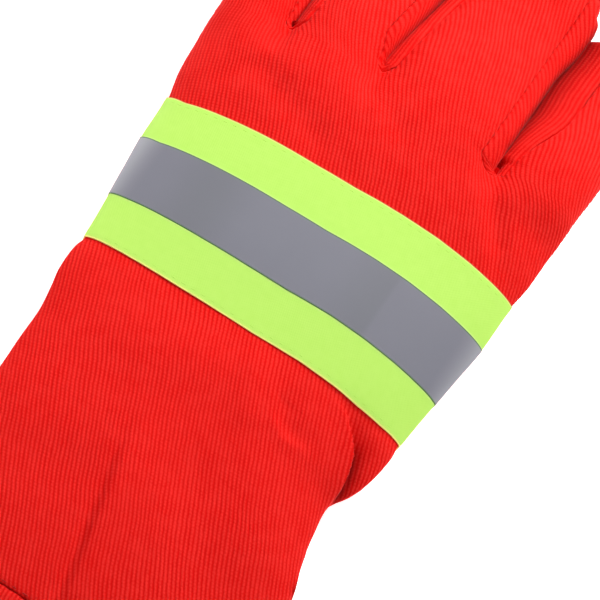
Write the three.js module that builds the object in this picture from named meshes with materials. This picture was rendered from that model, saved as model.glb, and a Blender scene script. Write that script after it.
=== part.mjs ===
import * as THREE from "three";

// Left glove, back up: +X to the thumb side, +Y to the fingertips, +Z up, all in mm

// Named sizes
const LENGTH = 273;
const WIDTH = 115;
const DEPTH = 31;
const CLOTH = 1.6;
const SEAM_GAP = 0.32;
const FOURCHETTE_GAP = 0.42;
const HEM_LENGTH = 13.3;
const HEM_THICK = 2.2;
const BAND_WIDTH = 50;
const STRIPE_WIDTH = 20;
const BAND_AT = 0.4855;
const TAPE_THICK = 0.8;
const FOIL_THICK = 0.4;
const TAPE_CLEARANCE = 0.32;
const BAND_BOW = 0.7;
const KNUCKLE_AT = 0.645;
const CROTCH_POCKET = 2.4;
const CROTCH_DIP = 1;
const REST_FLAT = 0.4;
const BACK_FULLNESS = { left: 1.8, right: 2.1 };
const PALM_FULLNESS = 2.8;
const FINGER_FULLNESS = 2.2;
const TIP_ROUND = 0.85;
const TIP_FLAT_DEGREES = 30;
const SEAM_END_DEGREES = 7;
const OUTER_SEAM_DEGREES = 10;
const PALM_SEAM_DEGREES = 40;

// Cells across each finger, between two fingers and across a fourchette
const FINGER_CELLS = 5;
const CROTCH_CELLS = 2;
const FOURCHETTE_CELLS = 3;

// Sections of hand and cuff: at is a share of LENGTH from the cuff edge,
// left and right of WIDTH, leftEdge, rightEdge, crown and floor of DEPTH
const SECTIONS = [
  { at: 0.000, left: -0.443, right: 0.478, leftEdge: 0.240, rightEdge: 0.240, crown: 0.545, floor: 0.000 },
  { at: 0.050, left: -0.437, right: 0.470, leftEdge: 0.250, rightEdge: 0.250, crown: 0.555, floor: 0.000 },
  { at: 0.115, left: -0.428, right: 0.448, leftEdge: 0.274, rightEdge: 0.268, crown: 0.580, floor: 0.015 },
  { at: 0.205, left: -0.423, right: 0.411, leftEdge: 0.323, rightEdge: 0.290, crown: 0.613, floor: 0.040 },
  { at: 0.238, left: -0.422, right: 0.385, leftEdge: 0.323, rightEdge: 0.290, crown: 0.620, floor: 0.045 },
  { at: 0.267, left: -0.423, right: 0.371, leftEdge: 0.323, rightEdge: 0.297, crown: 0.629, floor: 0.045 },
  { at: 0.304, left: -0.424, right: 0.367, leftEdge: 0.332, rightEdge: 0.306, crown: 0.645, floor: 0.045 },
  { at: 0.330, left: -0.432, right: 0.405, leftEdge: 0.348, rightEdge: 0.316, crown: 0.655, floor: 0.035 },
  { at: 0.350, left: -0.441, right: 0.423, leftEdge: 0.355, rightEdge: 0.330, crown: 0.665, floor: 0.025 },
  { at: 0.378, left: -0.440, right: 0.430, leftEdge: 0.365, rightEdge: 0.355, crown: 0.677, floor: 0.010 },
  { at: 0.395, left: -0.430, right: 0.425, leftEdge: 0.361, rightEdge: 0.365, crown: 0.684, floor: 0.000 },
  { at: 0.480, left: -0.444, right: 0.443, leftEdge: 0.300, rightEdge: 0.435, crown: 0.790, floor: 0.000 },
  { at: 0.575, left: -0.462, right: 0.465, leftEdge: 0.240, rightEdge: 0.516, crown: 0.877, floor: 0.030 },
  { at: 0.610, left: -0.486, right: 0.484, leftEdge: 0.240, rightEdge: 0.532, crown: 0.935, floor: 0.050 },
  { at: 0.645, left: -0.493, right: 0.490, leftEdge: 0.245, rightEdge: 0.548, crown: 0.968, floor: 0.060 },
  { at: 0.700, left: -0.505, right: 0.498, leftEdge: 0.260, rightEdge: 0.574, crown: 1.000, floor: 0.065 },
];

// Fingers from the little one: left and right are root edges as shares of WIDTH, leans in degrees,
// reach a share of LENGTH, rise and thick shares of DEPTH at root and tip,
// seams the degrees of the upper seams round the finger at root and middle
const FINGERS = [
  { name: "little", left: -0.503, right: -0.324, leanLeft: -4.5, leanRight: -1.5, reach: 0.919,
    rise: 0.330, thick: 0.560, tipThick: 0.470, seamLeft: 190, seamLeftMid: 190, seamRight: 40, seamRightMid: 42 },
  { name: "ring", left: -0.313, right: -0.093, leanLeft: 4.0, leanRight: 7.0, reach: 0.985,
    rise: 0.580, thick: 0.580, tipThick: 0.500, seamLeft: 158, seamLeftMid: 150, seamRight: 36, seamRightMid: 54 },
  { name: "middle", left: -0.083, right: 0.263, leanLeft: 7.5, leanRight: 2.0, reach: 1.000,
    rise: 0.690, thick: 0.590, tipThick: 0.510, seamLeft: 158, seamLeftMid: 160, seamRight: 45, seamRightMid: 46 },
  { name: "index", left: 0.275, right: 0.494, leanLeft: 3.2, leanRight: 4.8, reach: 0.957,
    rise: 0.650, thick: 0.510, tipThick: 0.480, seamLeft: 149, seamLeftMid: 112, seamRight: -10, seamRightMid: -10 },
];

// Crotch line as shares of LENGTH: outer left, the three crotches, outer right
const CROTCH_LINE = [0.705, 0.707, 0.713, 0.680, 0.697];

// Rows of cells between named stations of the body
const BODY_SPANS = [
  { name: "cuff", to: 0.250, cells: 6 },
  { name: "wrist", to: "bandLow", cells: 7 },
  { name: "band_low", to: "stripeLow", cells: 2 },
  { name: "stripe", to: "wallLow", cells: 2 },
  { name: "wall_low", to: "wallMid", cells: 1 },
  { name: "wall_high", to: "wallHigh", cells: 1 },
  { name: "stripe_high", to: "stripeHigh", cells: 1 },
  { name: "band_high", to: "bandHigh", cells: 2 },
  { name: "hand", to: "knuckle", cells: 3 },
];
const KNUCKLE_CELLS = 3;
const FINGER_ROWS = [0.07, 0.18, 0.32, 0.48, 0.64, 0.82, 1];
const TIP_ROWS = [0.34, 0.68, 1];

// Thumb folded under the palm: shares of WIDTH, LENGTH and DEPTH
const THUMB = { left: 0.085, right: 0.350, rootAt: 0.502, tipAt: 0.735, thick: 0.362, wallSlope: 6 };
const THUMB_CLEARANCE = 1.2;
const THUMB_DRAPE = 13;
const THUMB_FULLNESS = 2.8;

// Folds of the back: ends as shares of WIDTH and LENGTH, breadth and height in mm (a hollow is negative)
const FOLDS = [
  { name: "crease_high", x0: 0.297, y0: 0.381, x1: 0.355, y1: 0.355, breadth: 3.2, height: -1.8 },
  { name: "crease_low", x0: 0.357, y0: 0.352, x1: 0.375, y1: 0.311, breadth: 3.4, height: -2.6 },
  { name: "crease_lobe", x0: 0.415, y0: 0.380, x1: 0.410, y1: 0.345, breadth: 4.0, height: 1.2 },
  { name: "cuff_long", x0: -0.090, y0: 0.262, x1: -0.040, y1: 0.120, breadth: 8.0, height: -0.9 },
  { name: "cuff_side", x0: 0.090, y0: 0.240, x1: 0.230, y1: 0.150, breadth: 9.0, height: -0.8 },
  { name: "wrist_ridge", x0: -0.210, y0: 0.318, x1: 0.010, y1: 0.275, breadth: 9.0, height: 0.8 },
  { name: "wrist_hollow", x0: 0.123, y0: 0.353, x1: 0.235, y1: 0.318, breadth: 6.0, height: -0.6 },
  { name: "index_pull", x0: 0.270, y0: 0.660, x1: 0.350, y1: 0.610, breadth: 4.0, height: -0.7 },
  { name: "little_pull", x0: -0.340, y0: 0.655, x1: -0.355, y1: 0.630, breadth: 5.0, height: -0.5 },
];

const LIME = new THREE.MeshStandardMaterial({ name: "lime_tape", color: 0xc4fb5c, roughness: 0.8, metalness: 0 });
const SILVER = new THREE.MeshStandardMaterial({ name: "silver_foil", color: 0x8d8d98, roughness: 0.5, metalness: 0 });
const RED = { color: 0xf0281e, roughness: 0.9, metalness: 0 };
const DARK_RED = { color: 0xd8201a, roughness: 0.9, metalness: 0 };

const radians = (degrees) => (degrees * Math.PI) / 180;
const mix = (a, b, share) => a + (b - a) * share;
const clamp01 = (value) => Math.min(1, Math.max(0, value));
const ease = (value) => clamp01(value) ** 2 * (3 - 2 * clamp01(value));
const alongOf = (at) => at * LENGTH;

// Smooth curve through one column of the section table
function sectionValue(column, at) {
  const last = SECTIONS.length - 1;
  let i = 0;
  while (i < last - 1 && SECTIONS[i + 1].at < at) i += 1;
  const slope = (k) => {
    const a = SECTIONS[Math.max(0, k - 1)];
    const b = SECTIONS[Math.min(last, k + 1)];
    return (b[column] - a[column]) / (b.at - a.at);
  };
  const a = SECTIONS[i];
  const b = SECTIONS[i + 1];
  const span = b.at - a.at;
  const t = Math.min(1.5, Math.max(0, (at - a.at) / span));
  const h00 = 2 * t ** 3 - 3 * t ** 2 + 1;
  const h10 = t ** 3 - 2 * t ** 2 + t;
  const h01 = -2 * t ** 3 + 3 * t ** 2;
  const h11 = t ** 3 - t ** 2;
  return h00 * a[column] + h10 * span * slope(i) + h01 * b[column] + h11 * span * slope(i + 1);
}

// Height of the underside, lifted where the hand lies on the thumb
function floorHeight(x, y, low) {
  const wall = alongOf(THUMB.rootAt);
  const alongShare = ease((y - wall) / THUMB.wallSlope + 0.5);
  const acrossShare = ease((x - THUMB.left * WIDTH + 2 + THUMB_DRAPE) / THUMB_DRAPE);
  const top = THUMB.thick * DEPTH + THUMB_CLEARANCE;
  return low + (top - low) * alongShare * acrossShare;
}

function foldHeight(x, y) {
  let sum = 0;
  for (const fold of FOLDS) {
    const ax = fold.x0 * WIDTH;
    const ay = fold.y0 * LENGTH;
    const dx = fold.x1 * WIDTH - ax;
    const dy = fold.y1 * LENGTH - ay;
    const share = clamp01(((x - ax) * dx + (y - ay) * dy) / (dx * dx + dy * dy));
    const away = Math.hypot(x - ax - dx * share, y - ay - dy * share);
    sum += fold.height * Math.exp(-((away / fold.breadth) ** 2));
  }
  return sum;
}

// Point of hand or cuff: across from -1 to 1, side 1 for the back and -1 for the palm
function bodyPoint(y, across, side, shrink = 0) {
  const at = y / LENGTH;
  const left = sectionValue("left", at) * WIDTH + shrink;
  const right = sectionValue("right", at) * WIDTH - shrink;
  const x = mix(left, right, (across + 1) / 2);
  const share = (across + 1) / 2;
  const edge = mix(sectionValue("leftEdge", at), sectionValue("rightEdge", at), share) * DEPTH;
  const crown = sectionValue("crown", at) * DEPTH - shrink;
  const low = Math.max(0, sectionValue("floor", at) * DEPTH);
  const floor = floorHeight(x, y, low) + shrink;
  const back = mix(BACK_FULLNESS.left, BACK_FULLNESS.right, ease(share));
  const full = side > 0 ? back : PALM_FULLNESS;
  const swell = Math.max(0, 1 - Math.abs(across) ** full) ** (1 / full);
  const reachTo = side > 0 ? crown : Math.min(floor - REST_FLAT, edge);
  let z = edge + (reachTo - edge) * swell;
  if (side > 0) z += foldHeight(x, y) * swell;
  return new THREE.Vector3(x, y, Math.max(shrink, z));
}

function fingerShape(finger, y, crotch) {
  const root = alongOf(CROTCH_LINE[2]);
  const lean = (degrees) => Math.tan(radians(degrees)) * (y - root);
  const rootWidth = (finger.right - finger.left) * WIDTH;
  const start = finger.reach * LENGTH - TIP_ROUND * rootWidth * 0.5;
  const along = Math.min(y, start);
  const edge = (share, degrees) => share * WIDTH + Math.tan(radians(degrees)) * (along - root);
  const half = (edge(finger.right, finger.leanRight) - edge(finger.left, finger.leanLeft)) / 2;
  const middle = ((finger.left + finger.right) * WIDTH + lean(finger.leanLeft) + lean(finger.leanRight)) / 2;
  const t = clamp01((y - crotch) / (start - crotch));
  const thick = mix(finger.thick, finger.tipThick, t) * DEPTH;
  const tipRise = finger.tipThick * DEPTH * 0.5 - 0.4;
  const rise = mix(finger.rise * DEPTH, tipRise, ease((t - 0.05) / 0.9));
  return { middle, half: half * (1 - 0.06 * t * t), rise, thick, start, t };
}

// Point on a finger: across and beyond are shares of the half width and of the rounded end
function fingerPoint(finger, y, across, beyond, side, crotch) {
  const shape = fingerShape(finger, y, crotch);
  const reach = Math.min(1, (across * across + beyond * beyond) ** (FINGER_FULLNESS / 2));
  const swell = (1 - reach) ** (1 / FINGER_FULLNESS);
  const z = shape.rise + side * shape.thick * 0.5 * swell;
  return new THREE.Vector3(shape.middle + shape.half * across, y, Math.max(0, z));
}

function acrossOf(degrees) {
  const c = Math.cos(radians(degrees));
  const s = Math.sin(radians(degrees));
  const power = 2 / FINGER_FULLNESS;
  const a = Math.abs(c) ** power;
  const b = Math.abs(s) ** power;
  const size = (a ** FINGER_FULLNESS + b ** FINGER_FULLNESS) ** (1 / FINGER_FULLNESS);
  return (Math.sign(c) * a) / size;
}

// Angle of a seam on a finger, closing to the fingertip plane at its end
function seamAngle(index, edge, upper, t) {
  const finger = FINGERS[index];
  const isLeft = edge === "left";
  const outer = isLeft ? index === 0 : index === FINGERS.length - 1;
  const flat = isLeft ? 180 : 0;
  if (outer) {
    const turn = isLeft ? OUTER_SEAM_DEGREES : -OUTER_SEAM_DEGREES;
    return flat + turn * (1 - ease((t - 0.4) / 0.6));
  }
  const closing = ease((t - 0.62) / 0.38);
  if (upper) {
    const root = isLeft ? finger.seamLeft : finger.seamRight;
    const middle = isLeft ? finger.seamLeftMid : finger.seamRightMid;
    const end = isLeft ? 180 - SEAM_END_DEGREES : SEAM_END_DEGREES;
    return mix(mix(root, middle, ease(t / 0.45)), end, closing);
  }
  const start = isLeft ? 180 + PALM_SEAM_DEGREES : -PALM_SEAM_DEGREES;
  const end = isLeft ? 180 + SEAM_END_DEGREES : -SEAM_END_DEGREES;
  return mix(start, end, closing);
}

// Columns of a panel at the crotch row, left to right
function panelColumns(upper) {
  const columns = [];
  FINGERS.forEach((finger, index) => {
    for (let k = 0; k <= FINGER_CELLS; k += 1) {
      columns.push({ kind: "finger", index, k });
    }
    if (index < FINGERS.length - 1) {
      for (let k = 1; k < CROTCH_CELLS; k += 1) {
        columns.push({ kind: "crotch", index, share: k / CROTCH_CELLS });
      }
    }
  });
  return columns.map((column) => ({ ...column, upper }));
}

function columnAngle(column, t) {
  let from = seamAngle(column.index, "left", column.upper, t);
  let to = seamAngle(column.index, "right", column.upper, t);
  if (!column.upper && to <= 0) to += 360;
  return mix(from, to, column.k / FINGER_CELLS);
}

// Crotch line under one column of a finger
function crotchOf(index, share) {
  const pocketLeft = index === 0 ? 0 : CROTCH_POCKET;
  const pocketRight = index === FINGERS.length - 1 ? 0 : CROTCH_POCKET;
  const left = alongOf(CROTCH_LINE[index]) + pocketLeft;
  const right = alongOf(CROTCH_LINE[index + 1]) + pocketRight;
  return mix(left, right, share);
}

// Point in row t of a finger for an angle round it
function tubePoint(index, degrees, share, t) {
  const finger = FINGERS[index];
  const crotch = crotchOf(index, share);
  const start = fingerShape(finger, 0, crotch).start;
  const y = mix(crotch, start, t);
  const angle = ((degrees % 360) + 360) % 360;
  const side = angle > 180 ? -1 : 1;
  return fingerPoint(finger, y, acrossOf(degrees), 0, side, crotch);
}

// Point in the rounded fingertip
function tipPoint(index, share, t, upper) {
  const finger = FINGERS[index];
  const start = fingerShape(finger, 0, 0).start;
  const length = finger.reach * LENGTH - start;
  const turn = radians(mix(90, TIP_FLAT_DEGREES, t));
  const across = -Math.cos(Math.PI * share) * Math.sin(turn);
  const rim = Math.sqrt(1 - across * across);
  const beyond = mix(Math.cos(turn), rim, t);
  const y = start + length * beyond;
  const point = fingerPoint(finger, y, across, beyond, upper ? 1 : -1, crotchOf(index, share));
  return point;
}

function rootPoint(column) {
  if (column.kind === "finger") {
    return tubePoint(column.index, columnAngle(column, 0), column.k / FINGER_CELLS, 0);
  }
  const left = { kind: "finger", index: column.index, k: FINGER_CELLS, upper: column.upper };
  const right = { kind: "finger", index: column.index + 1, k: 0, upper: column.upper };
  const a = rootPoint(left);
  const b = rootPoint(right);
  const point = a.lerp(b, column.share);
  const depth = Math.sin(Math.PI * column.share);
  point.y -= CROTCH_POCKET * depth;
  point.z -= (column.upper ? CROTCH_DIP : -CROTCH_DIP) * depth;
  return point;
}

// Rows of the body from the hem seam to the knuckles, in mm along the glove
function bodyRows() {
  const centre = alongOf(BAND_AT);
  const wall = alongOf(THUMB.rootAt);
  const named = {
    bandLow: centre - BAND_WIDTH / 2,
    stripeLow: centre - STRIPE_WIDTH / 2,
    wallLow: wall - THUMB.wallSlope / 2,
    wallMid: wall,
    wallHigh: wall + THUMB.wallSlope / 2,
    stripeHigh: centre + STRIPE_WIDTH / 2,
    bandHigh: centre + BAND_WIDTH / 2,
    knuckle: alongOf(KNUCKLE_AT),
  };
  const rows = [HEM_LENGTH];
  const index = {};
  for (const span of BODY_SPANS) {
    const from = rows[rows.length - 1];
    const to = typeof span.to === "number" ? alongOf(span.to) : named[span.to];
    for (let i = 1; i <= span.cells; i += 1) rows.push(mix(from, to, i / span.cells));
    index[span.to] = rows.length - 1;
  }
  return { rows, index };
}

const BODY = bodyRows();

// The band bows towards the fingers at both edges of the hand
function bowOf(y, across) {
  const from = alongOf(BAND_AT) - BAND_WIDTH / 2;
  return BAND_BOW * clamp01((y - from) / BAND_WIDTH) * across * across;
}

function columnAcross(column) {
  const root = rootPoint(column);
  const at = root.y / LENGTH;
  const left = sectionValue("left", at) * WIDTH;
  const right = sectionValue("right", at) * WIDTH;
  const across = ((root.x - left) / (right - left)) * 2 - 1;
  return Math.min(0.998, Math.max(-0.998, across));
}

function columnSide(column) {
  if (column.kind === "crotch") return column.upper ? 1 : -1;
  const angle = ((columnAngle(column, 0) % 360) + 360) % 360;
  return angle > 180 ? -1 : 1;
}

// Columns of body points, then the knuckle rows that run into the finger roots
function bodyColumn(column) {
  const across = columnAcross(column);
  const side = columnSide(column);
  const points = BODY.rows.map((y) => bodyPoint(y + bowOf(y, across), across, side));
  const root = rootPoint(column);
  const from = points[points.length - 1].y;
  for (let i = 1; i <= KNUCKLE_CELLS; i += 1) {
    const share = i / KNUCKLE_CELLS;
    const y = mix(from, root.y, share);
    const point = bodyPoint(y, across, side);
    const blend = ease(share);
    points.push(new THREE.Vector3(mix(point.x, root.x, share), y, mix(point.z, root.z, blend)));
  }
  return points;
}

// A sheet is a list of points and faces; shared points are joined
class Sheet {
  constructor() {
    this.points = [];
    this.faces = [];
    this.keys = new Map();
  }

  add(point) {
    const key = keyOf(point);
    if (!this.keys.has(key)) {
      this.keys.set(key, this.points.length);
      this.points.push(point.clone());
    }
    return this.keys.get(key);
  }

  triangle(a, b, c) {
    const ids = [this.add(a), this.add(b), this.add(c)];
    if (ids[0] !== ids[1] && ids[1] !== ids[2] && ids[0] !== ids[2]) this.faces.push(ids);
  }

  quad(a, b, c, d) {
    this.triangle(a, b, c);
    this.triangle(a, c, d);
  }
}

function keyOf(point) {
  return [point.x, point.y, point.z].map((value) => Math.round(value * 1000)).join("_");
}

function faceNormal(sheet, face) {
  const [a, b, c] = face.map((id) => sheet.points[id]);
  return b.clone().sub(a).cross(c.clone().sub(a));
}

// Normals shared by every sheet that meets in a point
function sharedNormals(sheets) {
  const sums = new Map();
  for (const sheet of sheets) {
    for (const face of sheet.faces) {
      const normal = faceNormal(sheet, face);
      for (const id of face) {
        const key = keyOf(sheet.points[id]);
        if (!sums.has(key)) sums.set(key, new THREE.Vector3());
        sums.get(key).add(normal);
      }
    }
  }
  for (const sum of sums.values()) sum.normalize();
  return sums;
}

// Thickens a sheet inwards, drawing its edges back by half a seam gap
function thicken(sheet, normals, thickness, lift = 0, edgeGap = SEAM_GAP / 2) {
  const edges = new Map();
  for (const face of sheet.faces) {
    for (let i = 0; i < 3; i += 1) edges.set(`${face[i]}_${face[(i + 1) % 3]}`, face);
  }
  const rim = [];
  const pull = new Map();
  for (const [key, face] of edges) {
    const [a, b] = key.split("_").map(Number);
    if (edges.has(`${b}_${a}`)) continue;
    rim.push([a, b]);
    const run = sheet.points[b].clone().sub(sheet.points[a]).normalize();
    const inward = faceNormal(sheet, face).normalize().cross(run);
    for (const id of [a, b]) {
      if (!pull.has(id)) pull.set(id, []);
      pull.get(id).push(inward);
    }
  }
  const outer = [];
  const inner = [];
  sheet.points.forEach((point, id) => {
    const normal = normals.get(keyOf(point));
    const shift = new THREE.Vector3();
    if (pull.has(id)) {
      for (const inward of pull.get(id)) shift.add(inward);
      shift.normalize();
      const fit = Math.max(0.2, shift.dot(pull.get(id)[0]));
      shift.multiplyScalar(edgeGap / fit);
    }
    const top = point.clone().addScaledVector(normal, lift).add(shift);
    outer.push(top);
    inner.push(top.clone().addScaledVector(normal, -thickness));
  });
  const positions = [];
  const push = (...list) => list.forEach((p) => positions.push(p.x, p.y, p.z));
  for (const [a, b, c] of sheet.faces) {
    push(outer[a], outer[b], outer[c]);
    push(inner[a], inner[c], inner[b]);
  }
  for (const [a, b] of rim) {
    push(outer[b], outer[a], inner[a]);
    push(outer[b], inner[a], inner[b]);
  }
  return positions;
}

function meshOf(name, positions, material) {
  const geometry = new THREE.BufferGeometry();
  geometry.setAttribute("position", new THREE.Float32BufferAttribute(positions, 3));
  geometry.computeVertexNormals();
  const mesh = new THREE.Mesh(geometry, material);
  mesh.name = name;
  return mesh;
}

// The cloth of back or palm: body cells, then one strip of cells for each finger
function panelSheet(upper, grid, skipCell) {
  const sheet = new Sheet();
  const columns = panelColumns(upper);
  const put = (a, b, c, d) => (upper ? sheet.quad(a, b, c, d) : sheet.quad(a, d, c, b));
  const rows = grid[0].length;
  for (let j = 0; j < columns.length - 1; j += 1) {
    for (let i = 0; i < rows - 1; i += 1) {
      if (skipCell(i, j)) continue;
      put(grid[j][i], grid[j + 1][i], grid[j + 1][i + 1], grid[j][i + 1]);
    }
  }
  columns.forEach((column, j) => {
    if (column.kind !== "finger" || column.k === FINGER_CELLS) return;
    const next = columns[j + 1];
    const share = (c) => c.k / FINGER_CELLS;
    const line = (c, body) => {
      const tube = FINGER_ROWS.map((t) => tubePoint(c.index, columnAngle(c, t), share(c), t));
      const tip = TIP_ROWS.map((t) => tipPoint(c.index, share(c), t, upper));
      return [body[rows - 1], ...tube, ...tip];
    };
    const a = line(column, grid[j]);
    const b = line(next, grid[j + 1]);
    for (let i = 0; i < a.length - 1; i += 1) put(a[i], b[i], b[i + 1], a[i + 1]);
  });
  return sheet;
}

// The strip between two fingers: down one side, round the crotch and up the other
function fourchetteSheet(index, backMiddle, palmMiddle) {
  const sheet = new Sheet();
  const across = (finger, edge, t) => {
    const from = seamAngle(finger, edge, true, t);
    const to = seamAngle(finger, edge, false, t);
    const line = [];
    for (let q = 0; q <= FOURCHETTE_CELLS; q += 1) {
      line.push(tubePoint(finger, mix(from, to, q / FOURCHETTE_CELLS), edge === "left" ? 0 : 1, t));
    }
    return line;
  };
  const path = [];
  const end = (finger, share) => {
    const tip = tipPoint(finger, share, TIP_ROWS[0], true);
    return new Array(FOURCHETTE_CELLS + 1).fill(tip);
  };
  path.push(end(index, 1));
  for (const t of [...FINGER_ROWS].reverse()) path.push(across(index, "right", t));
  const left = across(index, "right", 0);
  const right = across(index + 1, "left", 0);
  path.push(left);
  for (let k = 1; k < CROTCH_CELLS; k += 1) {
    const middle = left.map((point, q) => {
      const centre = point.clone().lerp(right[q], k / CROTCH_CELLS);
      centre.y -= CROTCH_POCKET * 0.6 * Math.sin((Math.PI * k) / CROTCH_CELLS);
      return centre;
    });
    middle[0] = backMiddle[k - 1];
    middle[FOURCHETTE_CELLS] = palmMiddle[k - 1];
    path.push(middle);
  }
  path.push(right);
  for (const t of FINGER_ROWS) path.push(across(index + 1, "left", t));
  path.push(end(index + 1, 0));
  for (let p = 0; p < path.length - 1; p += 1) {
    for (let q = 0; q < FOURCHETTE_CELLS; q += 1) {
      sheet.quad(path[p][q], path[p + 1][q], path[p + 1][q + 1], path[p][q + 1]);
    }
  }
  return sheet;
}

// Cells of the thumb hole in the palm grid
function holeCells(grid) {
  const low = BODY.index.wallLow;
  const high = BODY.index.wallHigh;
  const inside = (j) => {
    const x = grid[j][low].x / WIDTH;
    return x > THUMB.left - 0.03 && x < THUMB.right + 0.03;
  };
  const columns = grid.map((_, j) => j).filter(inside);
  return { low, high, from: columns[0], to: columns[columns.length - 1] };
}

// The thumb: from the rim of its hole to a rounded tube along the palm
function thumbSheet(grid, hole) {
  const rim = [];
  for (let j = hole.from; j < hole.to; j += 1) rim.push(grid[j][hole.low]);
  for (let i = hole.low; i < hole.high; i += 1) rim.push(grid[hole.to][i]);
  for (let j = hole.to; j > hole.from; j -= 1) rim.push(grid[j][hole.high]);
  for (let i = hole.high; i > hole.low; i -= 1) rim.push(grid[hole.from][i]);
  const thick = THUMB.thick * DEPTH;
  const middle = ((THUMB.left + THUMB.right) / 2) * WIDTH;
  const half = ((THUMB.right - THUMB.left) / 2) * WIDTH;
  const root = alongOf(THUMB.rootAt);
  const tip = alongOf(THUMB.tipAt);
  const round = half * TIP_ROUND;
  const centreZ = thick / 2;
  const rows = [rim.map((point) => point.clone().add(new THREE.Vector3(0, SEAM_GAP * 0.7, 0)))];
  const angles = rim.map((point) => Math.atan2((point.z - centreZ) / thick, (point.x - middle) / (2 * half)));
  const ring = (y, size) => angles.map((angle) => {
    const c = Math.cos(angle);
    const s = Math.sin(angle);
    const power = 2 / THUMB_FULLNESS;
    const x = middle + half * size * Math.sign(c) * Math.abs(c) ** power;
    const drop = s < 0 ? REST_FLAT : 0;
    const z = centreZ + (centreZ + drop) * size ** 0.5 * Math.sign(s) * Math.abs(s) ** power;
    return new THREE.Vector3(x, y, Math.max(0, z));
  });
  const start = root + THUMB.wallSlope / 2 + 4;
  for (const share of [0, 0.25, 0.5, 0.75, 1]) rows.push(ring(mix(start, tip - round, share), 1));
  for (const turn of [30, 55, 75]) {
    rows.push(ring(tip - round + round * Math.sin(radians(turn)), Math.cos(radians(turn))));
  }
  const sheet = new Sheet();
  for (let i = 0; i < rows.length - 1; i += 1) {
    for (let j = 0; j < angles.length; j += 1) {
      const k = (j + 1) % angles.length;
      sheet.quad(rows[i][j], rows[i + 1][j], rows[i + 1][k], rows[i][k]);
    }
  }
  const end = new THREE.Vector3(middle, tip, centreZ);
  const last = rows[rows.length - 1];
  for (let j = 0; j < angles.length; j += 1) sheet.triangle(last[j], end, last[(j + 1) % angles.length]);
  return sheet;
}

// The hem: a ring of doubled cloth that carries on the line of the cuff
function hemPositions(backColumns, palmColumns) {
  const around = [
    ...backColumns.map((column) => [columnAcross(column), columnSide(column)]),
    ...palmColumns.slice(1, -1).reverse().map((column) => [columnAcross(column), columnSide(column)]),
  ];
  const top = HEM_LENGTH - SEAM_GAP / 2;
  const profile = [
    { y: top, shrink: 0 },
    { y: HEM_LENGTH / 2, shrink: 0 },
    { y: 0.8, shrink: 0 },
    { y: 0, shrink: 0.6 },
    { y: 0, shrink: HEM_THICK - 0.6 },
    { y: 0.8, shrink: HEM_THICK },
    { y: top, shrink: HEM_THICK },
  ];
  const rings = profile.map(({ y, shrink }) => around.map(([across, side]) => {
    const point = bodyPoint(y, across, side, shrink);
    return point;
  }));
  const positions = [];
  const push = (...list) => list.forEach((p) => positions.push(p.x, p.y, p.z));
  for (let i = 0; i < rings.length; i += 1) {
    const a = rings[i];
    const b = rings[(i + 1) % rings.length];
    for (let j = 0; j < around.length; j += 1) {
      const k = (j + 1) % around.length;
      push(a[j], b[k], a[k]);
      push(a[j], b[j], b[k]);
    }
  }
  return positions;
}

// A flat band laid over rows of the back panel
function bandSheet(grid, low, high) {
  const sheet = new Sheet();
  for (let j = 0; j < grid.length - 1; j += 1) {
    for (let i = low; i < high; i += 1) {
      sheet.quad(grid[j][i], grid[j + 1][i], grid[j + 1][i + 1], grid[j][i + 1]);
    }
  }
  return sheet;
}

const backColumns = panelColumns(true);
const palmColumns = panelColumns(false);
const backGrid = backColumns.map(bodyColumn);
const palmGrid = palmColumns.map(bodyColumn);
const hole = holeCells(palmGrid);
const inHole = (i, j) => i >= hole.low && i < hole.high && j >= hole.from && j < hole.to;
const back = panelSheet(true, backGrid, () => false);
const palm = panelSheet(false, palmGrid, inHole);
const crotchPoints = (columns, grid, index) => columns
  .map((column, j) => ({ column, point: grid[j][grid[j].length - 1] }))
  .filter(({ column }) => column.kind === "crotch" && column.index === index)
  .map(({ point }) => point);
const fourchettes = [0, 1, 2].map((index) => fourchetteSheet(
  index,
  crotchPoints(backColumns, backGrid, index),
  crotchPoints(palmColumns, palmGrid, index),
));
const thumb = thumbSheet(palmGrid, hole);
const tape = bandSheet(backGrid, BODY.index.bandLow, BODY.index.bandHigh);
const stripe = bandSheet(backGrid, BODY.index.stripeLow, BODY.index.stripeHigh);

const skin = sharedNormals([back, palm, ...fourchettes]);
const thumbNormals = sharedNormals([thumb]);
const red = (name, look = RED) => new THREE.MeshStandardMaterial({ name: `twill_${name}`, ...look });
const tapeLift = TAPE_CLEARANCE + TAPE_THICK;
const stripeLift = tapeLift + TAPE_CLEARANCE + FOIL_THICK;

const group = new THREE.Group();
group.name = "firefighter_glove";
group.add(meshOf("back_panel", thicken(back, skin, CLOTH), red("back")));
group.add(meshOf("palm_panel", thicken(palm, skin, CLOTH), red("palm")));
["little_ring", "ring_middle", "middle_index"].forEach((name, index) => {
  const positions = thicken(fourchettes[index], skin, CLOTH, 0, FOURCHETTE_GAP);
  group.add(meshOf(`fourchette_${name}`, positions, red(`fourchette_${index + 1}`, DARK_RED)));
});
group.add(meshOf("thumb", thicken(thumb, thumbNormals, CLOTH, 0, 0), red("thumb")));
group.add(meshOf("lime_tape", thicken(tape, skin, TAPE_THICK, tapeLift, 0), LIME));
group.add(meshOf("silver_stripe", thicken(stripe, skin, FOIL_THICK, stripeLift, 0), SILVER));
group.add(meshOf("cuff_hem", hemPositions(backColumns, palmColumns), red("hem")));

// Origin at the middle of the bounding box, on the floor
const box = new THREE.Box3().setFromObject(group);
const centre = box.getCenter(new THREE.Vector3());
for (const mesh of group.children) mesh.geometry.translate(-centre.x, -centre.y, -box.min.z);

export default group;
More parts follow.
